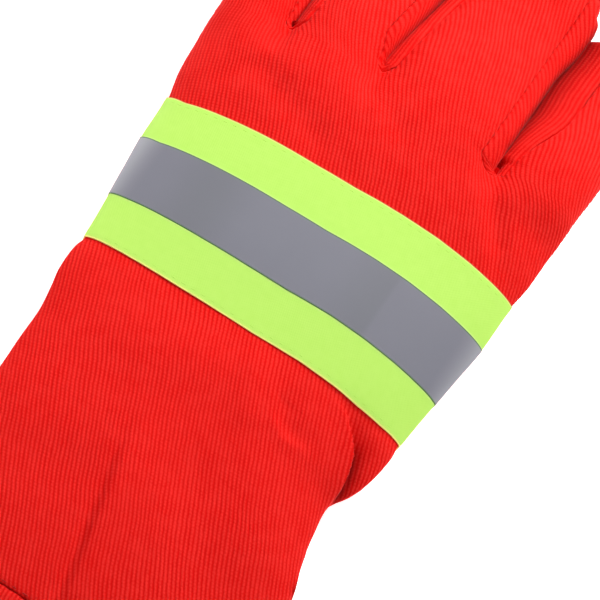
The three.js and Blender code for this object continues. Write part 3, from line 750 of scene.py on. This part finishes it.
def touch_wall(i, points, edge):
    y = points[:, 1]
    start, full, end, over, near_share, far_share = TOUCH[i]
    left = finger_point(i, y, 1.0, 0.0, 1.0, CROTCHES[i + 1])[:, 0]
    right = finger_point(i + 1, y, -1.0, 0.0, 1.0, CROTCHES[i + 1])[:, 0]
    away = y - CROTCHES[i + 1]
    touching = ease((away - start) / (full - start)) * (1.0 - ease((away - end) / (over - end)))
    belly = np.sin(np.pi * STRIP_ROWS) ** 0.6
    left_share = lerp(near_share, far_share, ease((away - 42.0) / 18.0))
    gap = right - left + 0.5
    move = gap * (left_share if edge == "right" else left_share - 1.0)
    points[:, 0] += move * belly * touching
    if edge == "left":
        under = np.sin(np.pi * STRIP_ROWS) ** 1.5 * touching
        points[:, 0] -= 1.0 * under
        points[:, 2] -= 2.4 * under
    return points


def fourchette_grid(i):
    q = STRIP_ROWS
    path = []

    def wall(finger, edge, t, tip=0.0):
        upper, lower = (seam_angle(finger, edge, is_upper, t + tip) for is_upper in (True, False))
        degrees = lerp(upper, lower, q)
        share = 0.0 if edge == "left" else 1.0
        if tip > 0.0:
            return tip_point(finger, degrees, share, tip)
        return touch_wall(i, tube_point(finger, degrees, share, t), edge)

    tips = TIP_ROWS[1:7]
    for t in tips[::-1]:
        path.append(wall(i, "right", 1.0, t))
    for t in TUBE_ROWS[::-1]:
        path.append(wall(i, "right", t))
    left = path[-1]
    right = wall(i + 1, "left", 0.0)
    for k in range(1, 6):
        share = k / 6.0
        depth = math.sin(math.pi * share)
        line = lerp(left, right, share)
        pull = np.abs(2.0 * q - 1.0) ** 2
        line[:, 1] -= POCKET * depth * lerp(-WEB[i], 1.0, pull)
        line[:, 2] -= DIP * depth * np.where(q < 0.5, 1.0, -1.0) * pull
        path.append(line)
    path.append(right)
    for t in TUBE_ROWS[1:]:
        path.append(wall(i + 1, "left", t))
    for t in tips:
        path.append(wall(i + 1, "left", 1.0, t))
    return np.stack(path, axis=1)


fourchette_bms = []
for i in range(3):
    grid = fourchette_grid(i)
    along = arc_along(grid, 1)
    along = along - along[:, [grid.shape[1] // 2]]
    slant = lerp(*(slope_of(degrees) for degrees in STRIP_LEAN), ease(along / 6.0 + 0.5))
    flat = np.stack([arc_along(grid, 0) * STRIP_SQUEEZE + along * slant, along], axis=-1)
    # painted shade: the shade map darkens each strip where its walls touch, most on the wall beside the gap
    start, _, end, over, _, _ = TOUCH[i]
    away = grid[..., 1] - CROTCHES[i + 1]
    shade = np.clip((away - start) / 3.0, 0.0, 1.0) * (1.0 - ease((away - end) / (over - end)))
    wide = np.where(along > 0.0, lerp(4.0, 1.6, ease(away / 45.0)), 8.0)
    shade = shade * np.sin(np.pi * STRIP_ROWS)[:, None] ** wide
    fourchette_bms.append(lay_sheet(grid, flat, shade))
print("strip faces", [len(bm.faces) for bm in fourchette_bms])

# %% [markdown]
# ## The thumb
# The thumb starts as the border of its slot, turns into a flattened tube and closes in a round
# end. One grid runs round and along it, and its last row closes to a point.

# %% Lay the thumb
thumb_middle = (THUMB_LEFT + THUMB_RIGHT) / 2.0
thumb_half = (THUMB_RIGHT - THUMB_LEFT) / 2.0
thumb_centre = THUMB_THICK / 2.0
rim_up = (rim[:, 2] - thumb_centre) / THUMB_THICK
rim_across = (rim[:, 0] - thumb_middle) / (2.0 * thumb_half)
thumb_angles = np.arctan2(rim_up, rim_across)


def thumb_ring(y, size):
    c = np.cos(thumb_angles)
    s = np.sin(thumb_angles)
    power = 2.0 / PALM_FULL
    x = thumb_middle + thumb_half * size * np.sign(c) * np.abs(c) ** power
    drop = np.where(s < 0, REST_FLAT, 0.0)
    z = thumb_centre + (thumb_centre + drop) * size**0.5 * np.sign(s) * np.abs(s) ** power
    return np.stack([x, np.full_like(x, y), np.maximum(0.0, z)], axis=-1)


tube_start = THUMB_ROOT + THUMB_WALL / 2.0 + 4.0
round_length = thumb_half * 0.85
first_ring = thumb_ring(tube_start, 1.0)
thumb_rows = []
for share in np.linspace(0.0, 1.0, 9)[:-1]:
    thumb_rows.append(lerp(rim, first_ring, share))
for share in np.linspace(0.0, 1.0, 27):
    thumb_rows.append(thumb_ring(lerp(tube_start, THUMB_TIP - round_length, share), 1.0))
for bend in np.radians(np.linspace(0.0, 90.0, 14)[1:]):
    y = THUMB_TIP - round_length + round_length * math.sin(bend)
    thumb_rows.append(thumb_ring(y, max(0.0, math.cos(bend))))
thumb_rows[-1][:] = (thumb_middle, THUMB_TIP, thumb_centre)
thumb_grid = np.stack(thumb_rows, axis=1)
thumb_grid = np.concatenate([thumb_grid, thumb_grid[:1]])
thumb_round = arc_along(thumb_grid, 0)[:, [12]].repeat(thumb_grid.shape[1], axis=1)
thumb_along = arc_along(thumb_grid, 1)
thumb_flat = np.stack([
    thumb_along * GRAIN_SIN - thumb_round * GRAIN_COS,
    thumb_along * GRAIN_COS + thumb_round * GRAIN_SIN,
], axis=-1)
thumb_bm = lay_sheet(thumb_grid, thumb_flat)
print("thumb faces", len(thumb_bm.faces))

# %% [markdown]
# ## Seams
# The pieces are sewn inside out and turned, so at every seam both edges roll inwards and leave
# a fine groove, with small puckers between the stitches. A tree of points along the seams tells
# each corner of a sheet how far away the nearest seam is and how far along it lies.

# %% Points along every seam
SEAM_ROLL = 0.6


def back_edge():
    line = [back_body[:, 0]]
    for i in range(4):
        ids = finger_columns(back_columns, i)
        grid = finger_grid(back_columns, i, True)
        line += [grid[:, 0], grid[-1], grid[::-1, -1]]
        if i < 3:
            line.append(back_body[-1, ids[-1]:ids[-1] + 7])
    line.append(back_body[::-1, -1])
    return np.concatenate(line)


def finer(line, spacing=0.2):
    arc = arc_along(line, 0)
    stops = np.arange(0.0, arc[-1], spacing)
    return np.stack([np.interp(stops, arc, line[:, k]) for k in range(3)], axis=-1), stops


seam_lines = [back_edge(), np.concatenate([rim, rim[:1]])]
for i in range(3):
    seam_lines.append(fourchette_grid(i)[-1])
seam_points = []
seam_arcs = []
for number, line in enumerate(seam_lines):
    points, arc = finer(line)
    seam_points.append(points)
    seam_arcs.append(arc + 1000.0 * number)
seam_points = np.concatenate(seam_points)
seam_arcs = np.concatenate(seam_arcs)
seam_tree = KDTree(len(seam_points))
for k, point in enumerate(place(seam_points)):
    seam_tree.insert(point, k)
seam_tree.balance()
print("seam length", round(len(seam_points) * 0.2 / 1000.0, 2), "m")

# %% [markdown]
# ## Soften the sheets
# Each corner moves along its normal: down where the cloth rolls into a seam, a little up and
# down where stitches pucker it, and by a slow noise, because no worn cloth is quite smooth.

# %% Roll, pucker and soften
# how deep a seam sinks, a finger's root puckers, and the cloth dips and ripples at the hem, in mm
SEAM_SINK = 0.22
ROOT_PUCKER = 0.30
HEM_DIP = 0.32
HEM_RIPPLE = 0.26
# along the glove in mm: the roots of the fingers and the calm middle of the cuff's upper end
ROOT_LINE = 194.0
CALM_LINE = 88.0


def wave(arc):
    return math.sin(arc * 2.07) * 0.6 + math.sin(arc * 1.31 + 1.3) * 0.4


def hem_wave(x):
    return math.sin(x * 1.55) * 0.6 + math.sin(x * 0.93 + 0.7) * 0.4


def hump(value, middle, breadth, power=2):
    return math.exp(-(((value - middle) / breadth) ** power))


SHEETS = [back_bm, palm_bm, *fourchette_bms, thumb_bm]
outward = np.zeros((len(seam_points), 3))
for bm in SHEETS:
    bm.normal_update()
    for vert in bm.verts:
        _, index, away = seam_tree.find(vert.co)
        if away < 0.0007:
            outward[index] += np.array(vert.normal)
window = np.ones(31)
outward = np.stack([np.convolve(outward[:, k], window, mode="same") for k in range(3)], axis=-1)
outward /= np.maximum(np.linalg.norm(outward, axis=-1, keepdims=True), 1e-6)


def soften(bm, pucker=0.16, unrest=0.22, hem=True):
    bm.normal_update()
    moves = []
    for vert in bm.verts:
        _, index, away = seam_tree.find(vert.co)
        away = away * 1000.0
        arc = float(seam_arcs[index])
        spot = vert.co * 1000.0
        y = spot.y + FRAME_ORIGIN[1]
        inner = max(0.0, 1.0 - away / SEAM_ROLL)
        roll = SEAM_ROLL * (1.0 - math.sqrt(max(0.0, 1.0 - inner * inner)))
        roll += SEAM_SINK * hump(away, 0.0, 2.4)
        shared = min(1.0, inner * 1.6)
        direction = vert.normal * (1.0 - shared) + Vector(outward[index]) * shared
        near_root = hump(y, ROOT_LINE, 13.0)
        puckers = pucker * (1.0 - 0.7 * hump(y, CALM_LINE, 14.0)) * (1.0 + 1.1 * near_root)
        pleats = ROOT_PUCKER * near_root * math.sin(arc * 4.1)
        move = puckers * wave(arc) * math.exp(-away / 2.0) + pleats * math.exp(-away / 1.6)
        move *= min(1.0, away / 0.5)
        drift = noise.noise(Vector((spot.x / 19.0 + 3.1, spot.y / 27.0 + 7.7, spot.z / 40.0 + 0.4)))
        fine = noise.noise(Vector((spot.x / 7.0, spot.y / 9.0, spot.z / 14.0)))
        calm = 1.0 - 0.7 * hump(y, BAND_MIDDLE, 26.0, 8)
        move += unrest * calm * (drift + 0.3 * fine) * min(1.0, away / 4.0)
        from_hem = y - HEM_LENGTH
        if hem and from_hem < 6.0:
            move -= HEM_DIP * hump(from_hem, 0.0, 0.8)
            move += HEM_RIPPLE * hem_wave(spot.x) * math.exp(-from_hem / 2.2)
        moves.append(vert.normal * (move * 0.001) - direction * (roll * 0.001))
    for vert, step in zip(bm.verts, moves):
        vert.co = vert.co + step
        vert.co.z = max(0.0, vert.co.z)


soften(back_bm)
soften(palm_bm)
for bm in fourchette_bms:
    soften(bm, pucker=0.12, unrest=0.1, hem=False)
soften(thumb_bm, pucker=0.12, unrest=0.15, hem=False)
print("softened", len(back_bm.verts) + len(palm_bm.verts) + len(thumb_bm.verts), "corners")

# %% [markdown]
# ## The hem
# The cuff's edge is cloth turned in and sewn down, so it is a doubled ring. Its profile runs up
# the outside, round the folded edge and back inside, and the ring follows the cuff's outline.

# %% Lay the hem


def hem_grid():
    around = [(column_across(c, True), column_side(c, True)) for c in back_columns]
    around += [(column_across(c, False), column_side(c, False)) for c in palm_columns[::-1][1:-1]]
    around.append(around[0])
    across = np.array([a for a, _ in around])
    side = np.array([s for _, s in around])
    half = HEM_THICK / 2.0
    top = HEM_LENGTH - 0.12
    profile = [(top, 0.75), (top - 0.35, 0.3), (top - 0.9, 0.02), (top - 2.0, -0.12), (top - 4.0, -0.16)]
    profile += [(y, -0.1) for y in (7.0, 5.0, 3.2, 2.0)]
    for turn_round in np.linspace(10.0, 170.0, 9):
        a = math.radians(turn_round)
        profile.append((1.1 - 1.1 * math.sin(a), half - half * math.cos(a)))
    profile += [(y, HEM_THICK) for y in (3.0, 6.0, 9.0, 12.0)]
    profile += [(top, HEM_THICK - 0.2), (top, 0.75)]
    rings = [body_point(max(0.0, y), across, side, max(shrink, 0.0)) for y, shrink in profile]
    for k, (y, shrink) in enumerate(profile):
        rings[k][:, 1] = y
        if shrink < 0.0:
            rings[k][:, 2] += -shrink * np.where(side > 0, 1.0, 0.0)
    return np.stack(rings, axis=1)


hem_points = hem_grid()
hem_arc = arc_along(hem_points, 0)[:, [6]].repeat(hem_points.shape[1], axis=1)
hem_bm = lay_sheet(hem_points, np.stack([hem_arc, -arc_along(hem_points, 1)], axis=-1))
hem_bm.normal_update()
for vert in hem_bm.verts:
    x = vert.co.x * 1000.0
    from_seam = HEM_LENGTH - (vert.co.y * 1000.0 + FRAME_ORIGIN[1])
    drift = noise.noise(Vector((x / 11.0, from_seam / 9.0, vert.co.z * 60.0)))
    move = 0.24 * hem_wave(x) * math.exp(-from_seam / 2.6) + 0.18 * drift * min(1.0, from_seam / 3.0)
    vert.co = vert.co + vert.normal * (move * 0.001)
    vert.co.z = max(0.0, vert.co.z)
print("hem faces", len(hem_bm.faces))

# %% [markdown]
# ## The reflective band
# A 50 mm lime tape crosses the back, and a 20 mm silver stripe runs along its middle. Both lie
# on the cloth and end in the side seams, so they follow the same tube a little above it.

# %% Lay the tape and the stripe
TAPE_LIFT = 0.60
STRIPE_LIFT = 0.75
EDGE_DROP = 0.10
UNDER_SHARE = 0.45
# across the back, then how far the tape's upper and lower edge lie towards the cuff, in mm
BAND_WAVE = np.array([
    (-1.00, 0.3, 0.0), (-0.90, 1.9, 0.1), (-0.70, 1.75, 0.5), (-0.45, 1.4, 0.9),
    (-0.20, 1.2, 0.9), (0.03, 0.55, 0.7), (0.15, -0.2, 0.2), (0.30, -0.85, -0.4),
    (0.50, -1.4, -0.5), (0.70, -1.3, -0.3), (0.85, -0.9, 0.0), (1.00, -0.4, 0.0),
])


def band_grid(inset, lift):
    ys = BAND_LOW + inset
    lines = []
    for column in back_columns:
        across = column_across(column, True)
        upper, lower = (np.interp(across, BAND_WAVE[:, 0], BAND_WAVE[:, k]) for k in (1, 2))
        waved = ys - lerp(lower, upper, inset / BAND_WIDTH)
        lines.append(body_point(waved + bow(ys, across), across, column_side(column, True)))
    grid = np.stack(lines, axis=1)
    normal = np.cross(np.gradient(grid, axis=1), np.gradient(grid, axis=0))
    normal /= np.maximum(np.linalg.norm(normal, axis=-1, keepdims=True), 1e-9)
    sides = np.array([column_side(c, True) for c in back_columns])
    hug = np.where(sides < 0.0, UNDER_SHARE, 1.0)[None, :, None]
    return grid + normal * np.reshape(lift, (-1, 1, 1)) * hug


def band_flat(points, inset):
    u = arc_along(points, 1)
    u = u - u[:, [middle_back]]
    v = inset[:, None] + 0.0 * u
    return np.stack([u, v], axis=-1)


def insets_of(start, end, cells, close):
    even = np.linspace(start, end, cells + 1)
    return np.sort(np.concatenate([even, start + np.array(close), end - np.array(close)]))


tape_inset = insets_of(0.0, BAND_WIDTH, 40, (0.07, 0.35))
stripe_inset = insets_of(STRIPE_START, STRIPE_END, 16, (0.07,))
at_edge = ease((np.abs(tape_inset / BAND_WIDTH * 2.0 - 1.0) - 0.95) / 0.05)
tape_points = band_grid(tape_inset, TAPE_LIFT - EDGE_DROP * at_edge)
stripe_points = band_grid(stripe_inset, STRIPE_LIFT)
tape_bm = lay_sheet(tape_points, band_flat(tape_points, tape_inset))
stripe_bm = lay_sheet(stripe_points, band_flat(stripe_points, stripe_inset))
print("tape faces", len(tape_bm.faces), "stripe faces", len(stripe_bm.faces))

# %% [markdown]
# ## Materials as sums
# A material's colour is a sum of waves and noise. `Value` lets the script write it as one, and
# each sign then becomes one of Blender's math nodes.

# %% Write materials as sums


class Value:
    # a number inside a material: sums of values become Blender's own math nodes
    def __init__(self, nodes, socket):
        self.nodes = nodes
        self.socket = socket

    def __add__(self, other):
        return self.nodes.math("ADD", self, other)

    def __sub__(self, other):
        return self.nodes.math("SUBTRACT", self, other)

    def __rsub__(self, other):
        return self.nodes.math("SUBTRACT", other, self)

    def __mul__(self, other):
        return self.nodes.math("MULTIPLY", self, other)

    def __truediv__(self, other):
        return self.nodes.math("DIVIDE", self, other)

    def __pow__(self, other):
        return self.nodes.math("POWER", self, other)


class Nodes:
    def __init__(self, name):
        self.material = bpy.data.materials.new(name)
        self.material.use_nodes = True
        self.tree = self.material.node_tree
        self.shader = self.tree.nodes["Principled BSDF"]

    def feed(self, socket, value):
        if isinstance(value, Value):
            self.tree.links.new(value.socket, socket)
        else:
            socket.default_value = value

    def make(self, kind, inputs, output=0, **settings):
        node = self.tree.nodes.new("ShaderNode" + kind)
        for key, setting in settings.items():
            setattr(node, key, setting)
        for key, value in inputs.items():
            self.feed(node.inputs[key], value)
        return Value(self, node.outputs[output])

    def math(self, operation, *values):
        return self.make("Math", dict(enumerate(values)), operation=operation)

    def swing(self, turns):
        return self.math("COSINE", turns * (2.0 * math.pi)) * 0.5 + 0.5

    def mix(self, share, a, b):
        a, b = (c if isinstance(c, Value) else (*c, 1.0) for c in (a, b))
        return self.make("Mix", {0: share, 6: a, 7: b}, 2, data_type="RGBA")

    def remap(self, value, low, high, to_low=0.0, to_high=1.0):
        inputs = dict(enumerate((value, low, high, to_low, to_high)))
        return self.make("MapRange", inputs, interpolation_type="SMOOTHSTEP")

    def noise(self, scale, detail):
        spot = self.make("TexCoord", {}, "Object")
        return self.make("TexNoise", {"Vector": spot, "Scale": scale, "Detail": detail})

    def wobble(self, scale, detail, amount):
        return (self.noise(scale, detail) - 0.5) * amount

    def cloth_map(self, name="cloth"):
        flat = self.make("UVMap", {}, uv_map=name)
        return [self.make("SeparateXYZ", {0: flat}, k) for k in (0, 1)]

    def bump(self, height, distance):
        self.feed(self.shader.inputs["Normal"], self.make("Bump", {"Distance": distance, "Height": height}))

    def finish(self, colour, roughness, specular):
        self.feed(self.shader.inputs["Base Color"], colour)
        self.shader.inputs["Roughness"].default_value = roughness
        self.shader.inputs["Specular IOR Level"].default_value = specular
        return self.material


print("materials are written with", Nodes.__name__, "and", Value.__name__)

# %% [markdown]
# ## Twill
# Heavy twill shows slanted ribs with dark valleys, and each rib is a chain of short floats. Two
# waves on the cloth's flat map make them: one across the ribs, one along them, shifted from rib
# to rib. The same height drives the bump and tints the colour: the rib pattern is the weave's own,
# its dark valleys are painted shade and its light ridges a painted highlight. A second map paints
# shade in the crease and between the fingers.

# %% Make the twill
RIB_PITCH = 1.16
RIB_SHIFT = 0.37
FLOAT_LENGTH = 0.95
TWILL_DEPTH = 0.00016
# noise that lets the ribs wander: its scale, then how far in mm
RIB_WANDER = ((30.0, 3.2), (110.0, 0.5), (520.0, 0.24))
# painted shade: the dark red that the shade map mixes into the twill, and at most how much
PAINTED_SHADE_RED = (0.14, 0.0, 0.0)
PAINTED_SHADE_SHARE = 0.80


def make_twill(name, ridge, valley):
    n = Nodes(name)
    across, along = n.cloth_map()
    for scale, amount in RIB_WANDER:
        across = across + n.wobble(scale, 1.0, amount)
    across = across / RIB_PITCH
    along = along / FLOAT_LENGTH
    rib = n.swing(across - 0.5)
    dash = n.swing(along + n.math("FLOOR", across) * RIB_SHIFT)
    height = rib**0.8 * (dash * 0.30 + 0.70)
    tint = height + n.wobble(2300.0, 2.0, 0.9) + n.wobble(240.0, 3.0, 0.7)
    # painted shade and highlight: the colour runs from the valley colour in the rib valleys to the ridge
    # colour on the ridges, with random mottle
    colour = n.mix(n.remap(tint, -0.05, 1.05), valley, ridge)
    # painted shade: darker in the crease under the band and in the gaps between the fingers
    colour = n.mix(n.cloth_map("shade")[0] * PAINTED_SHADE_SHARE, colour, PAINTED_SHADE_RED)
    n.shader.inputs["Sheen Weight"].default_value = 0.08
    n.shader.inputs["Sheen Roughness"].default_value = 0.25
    n.shader.inputs["Sheen Tint"].default_value = (1.0, 0.55, 0.5, 1.0)
    n.bump(height, TWILL_DEPTH)
    return n.finish(colour, 0.85, 0.10)


twill = make_twill("red_twill", (0.98, 0.030, 0.023), (0.83, 0.0035, 0.002))
# painted shade: the strips between the fingers get a slightly darker copy of the twill
shaded_twill_strip = make_twill("red_twill_strip", (0.95, 0.027, 0.020), (0.80, 0.003, 0.002))
print("ribs every", RIB_PITCH, "mm")

# %% [markdown]
# ## Tape, stripe and thread
# The tape is a smooth fluorescent weave with a pale folded edge and a needle line inside it. A thin
# dark line along its upper edge is painted shadow.
# The stripe is a grey film of glass beads. Its ends, where it turns away, are painted paler as a
# painted highlight, two soft bends are painted as darker bars of shade, and a thin dark green line
# along its edges is painted shadow. The flat maps say where the edges and the ends are.

# %% Make the lime tape
lime = Nodes("lime_tape_weave")
u, v = lime.cloth_map()
from_edge = lime.math("MINIMUM", v, BAND_WIDTH - v)
from_stripe = lime.math("ABSOLUTE", v - BAND_WIDTH / 2.0) - STRIPE_WIDTH / 2.0
thread_turn = 2.0 * math.pi / 0.62
weave = lime.math("SINE", u * thread_turn) * lime.math("SINE", v * thread_turn)
mottle = lime.wobble(420.0, 3.0, 0.5)
colour = lime.mix(weave * 0.04 + mottle + 0.5, (0.52, 0.91, 0.12), (0.61, 0.96, 0.18))
colour = lime.mix(lime.remap(from_edge, 0.25, 0.53, 1.0, 0.0), colour, (1.0, 0.92, 0.26))
# painted shadow: a thin dark brown line along the tape's upper edge
painted_rim_shadow = lime.remap(v, BAND_WIDTH - 0.20, BAND_WIDTH - 0.08, 0.0, 0.8)
colour = lime.mix(painted_rim_shadow, colour, (0.22, 0.05, 0.006))
colour = lime.mix(lime.remap(from_stripe, 0.15, 0.65, 0.75, 0.0), colour, (0.68, 0.98, 0.30))
lime.bump(weave * 0.4 + mottle * 2.0, 0.00003)
lime_tape_look = lime.finish(colour, 0.75, 0.25)
print("made", lime_tape_look.name)

# %% Make the silver film and the threads
film = Nodes("silver_film")
u, v = film.cloth_map()
from_edge = film.math("MINIMUM", v - STRIPE_START, STRIPE_END - v)
beads = film.noise(5200.0, 1.0)
tone = film.wobble(60.0, 3.0, 0.5) + beads * 0.2 + 0.4
colour = film.mix(tone, (0.216, 0.214, 0.256), (0.254, 0.252, 0.296))
# painted shade: two darker bars across the film where it bends, bends that the solids don't have
painted_soft_bend_shade = film.remap(u, -44.0, -31.0) * film.remap(u, -29.0, -16.0, 1.0, 0.0)
painted_sharp_bend_shade = film.remap(u, 8.0, 23.0) * film.remap(u, 24.0, 26.0, 1.0, 0.0)
colour = film.mix((painted_soft_bend_shade + painted_sharp_bend_shade) * 0.55, colour, (0.196, 0.198, 0.222))
# painted highlight: the film is painted paler towards both ends, where it turns away
painted_end_highlight = film.remap(film.math("ABSOLUTE", u), 47.0, 57.0, 0.0, 0.45)
colour = film.mix(painted_end_highlight, colour, (0.62, 0.61, 0.65))
# painted shadow: a thin dark green line along both edges of the film, where it sits on the tape
colour = film.mix(film.remap(from_edge, 0.10, 0.42, 1.0, 0.0), colour, (0.09, 0.20, 0.07))
film.bump(beads, 0.00001)
silver_look = film.finish(colour, 0.55, 0.25)


def make_thread(name, colour):
    n = Nodes(name)
    twist = n.noise(3000.0, 1.0)
    n.bump(twist, 0.00003)
    return n.finish(n.mix(twist, [0.93 * part for part in colour], colour), 0.7, 0.3)


lime_thread = make_thread("lime_thread", (0.56, 0.94, 0.13))
red_thread = make_thread("red_thread", (0.62, 0.010, 0.008))
print("made", silver_look.name, lime_thread.name, red_thread.name)

# %% [markdown]
# ## Finish the pieces
# Cloth gets its thickness from a Solidify modifier that grows inwards, so the outline stays.
# Every piece stands for its plain solid and rides on the one body of a glove without joints.

# %% Turn sheets into pieces
pieces = {}


def finish_piece(name, bm, look, node, thickness=None):
    mesh = bpy.data.meshes.new(name)
    for face in bm.faces:
        face.smooth = True
    bm.to_mesh(mesh)
    bm.free()
    mesh.materials.append(look)
    piece = bpy.data.objects.new(name, mesh)
    bpy.context.collection.objects.link(piece)
    if thickness:
        wall = piece.modifiers.new("wall", "SOLIDIFY")
        wall.thickness = thickness * 0.001
        wall.offset = -1.0
        wall.use_even_offset = False
    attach(piece, "root")
    if node:
        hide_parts(node)
    pieces[name] = piece


finish_piece("back_cloth", back_bm, twill, "back_panel", CLOTH)
finish_piece("palm_cloth", palm_bm, twill, "palm_panel", CLOTH)
for bm, name in zip(fourchette_bms, ("little_ring", "ring_middle", "middle_index")):
    finish_piece("strip_" + name, bm, shaded_twill_strip, "fourchette_" + name, CLOTH)
finish_piece("thumb_cloth", thumb_bm, twill, "thumb", CLOTH)
finish_piece("hem_cloth", hem_bm, twill, "cuff_hem", None)
finish_piece("tape_cloth", tape_bm, lime_tape_look, "lime_tape", 0.36)
finish_piece("stripe_film", stripe_bm, silver_look, "silver_stripe", 0.14)
print("pieces", list(pieces))

# %% [markdown]
# ## Stitches
# A lockstitch shows as a row of short, slightly sunken floats. One small capsule, made from an
# ico sphere, is laid again and again along a line of the surface.

# %% Sew the rows of stitches
# in mm: the length of a stitch, the gap to the next, its thickness and how far it sinks in
BAND_STITCH = dict(length=1.9, gap=1.1, thick=0.28, sink=0.03)
HEM_STITCH = dict(length=2.1, gap=0.9, thick=0.5, sink=0.16)
BAND_STITCH_INSET = 1.45
HEM_STITCH_AWAY = 0.75


def sew(name, line, up, look, slot, length, gap, thick, sink):
    bm = bmesh.new()
    arc = arc_along(line, 0)

    def at(table, s):
        return np.array([np.interp(s, arc, table[:, k]) for k in range(3)])

    stops = np.arange(gap, arc[-1] - gap - length, length + gap)
    for s in stops:
        a = place(at(line, s))
        b = place(at(line, s + length))
        run = Vector(b - a)
        ahead = run.normalized()
        side = ahead.cross(Vector(at(up, s + length / 2.0))).normalized()
        top = side.cross(ahead)
        turn = Matrix((ahead, side, top)).transposed().to_4x4()
        middle = Vector((a + b) / 2.0) - top * (sink * 0.001)
        size = Matrix.Diagonal((run.length * 0.5, thick * 0.0005, thick * 0.00035, 1.0))
        made = bmesh.ops.create_icosphere(bm, subdivisions=1, radius=1.0)["verts"]
        bmesh.ops.transform(bm, verts=made, matrix=Matrix.Translation(middle) @ turn @ size)
    bmesh.ops.recalc_face_normals(bm, faces=bm.faces)
    finish_piece(name, bm, look, None, None)
    return len(stops)


def line_on(points, insets, inset):
    k = int(np.searchsorted(insets, inset)) - 1
    line = lerp(points[k], points[k + 1], (inset - insets[k]) / (insets[k + 1] - insets[k]))
    d_across = np.gradient(line, axis=0)
    d_along = points[k + 1] - points[k]
    up = np.cross(d_across, d_along)
    up /= np.maximum(np.linalg.norm(up, axis=-1, keepdims=True), 1e-9)
    return line, up


for name, inset in (("low", BAND_STITCH_INSET), ("high", BAND_WIDTH - BAND_STITCH_INSET)):
    line, up = (part[3:-3] for part in line_on(tape_points, tape_inset, inset))
    count = sew("band_stitches_" + name, line, up, lime_thread, "lime_band", **BAND_STITCH)
    print("band stitches", name, count)

hem_across = np.array([column_across(c, True) for c in back_columns[3:-3]])
hem_line = body_point(HEM_LENGTH + HEM_STITCH_AWAY, hem_across, 1.0)
hem_up = np.zeros_like(hem_line)
hem_up[:, 2] = 1.0
count = sew("hem_stitches", hem_line, hem_up, red_thread, "red_twill", **HEM_STITCH)
print("hem stitches", count)

# %% [markdown]
# ## Floor and light
# The photograph is a bright catalogue shot: a white ground without a shadow, and light so soft
# that only the form of the folds shows. A pale floor that glows a little, a bright sky, one large
# lamp overhead and a smaller one beyond the fingertips give the same.

# %% Lay the floor
floor_bm = bmesh.new()
bmesh.ops.create_grid(floor_bm, x_segments=1, y_segments=1, size=3.0)
floor_mesh = bpy.data.meshes.new("floor")
floor_bm.to_mesh(floor_mesh)
floor_bm.free()
floor = bpy.data.objects.new("floor", floor_mesh)
bpy.context.collection.objects.link(floor)
ground = Nodes("pale_floor")
speck = ground.mix(ground.noise(30.0, 2.0), (0.93, 0.93, 0.93), (0.97, 0.97, 0.97))
ground.shader.inputs["Emission Color"].default_value = (1.0, 1.0, 1.0, 1.0)
ground.shader.inputs["Emission Strength"].default_value = 0.85
floor.data.materials.append(ground.finish(speck, 0.95, 0.1))
print("floor", floor.name)

# %% Light the scene
world = bpy.data.worlds.new("studio")
bpy.context.scene.world = world
world.use_nodes = True
sky = world.node_tree.nodes["Background"].inputs
sky["Color"].default_value = (1.0, 1.0, 1.0, 1.0)
sky["Strength"].default_value = 0.36


def lamp(name, spot, aim, size, power, spread=180.0):
    data = bpy.data.lights.new(name, "AREA")
    data.shape = "SQUARE"
    data.size = size
    data.energy = power
    data.spread = math.radians(spread)
    light = bpy.data.objects.new(name, data)
    light.location = spot
    light.rotation_euler = (Vector(aim) - Vector(spot)).to_track_quat("-Z", "Y").to_euler()
    bpy.context.collection.objects.link(light)


lamp("key", (0.05, 0.50, 0.51), (-0.035, 0.080, 0.02), 0.4, 0.54, 41.0)
lamp("fill", (-0.5, 0.1, 1.3), (0.0, 0.0, 0.0), 1.0, 1.5)
bpy.context.scene.view_settings.view_transform = "Standard"
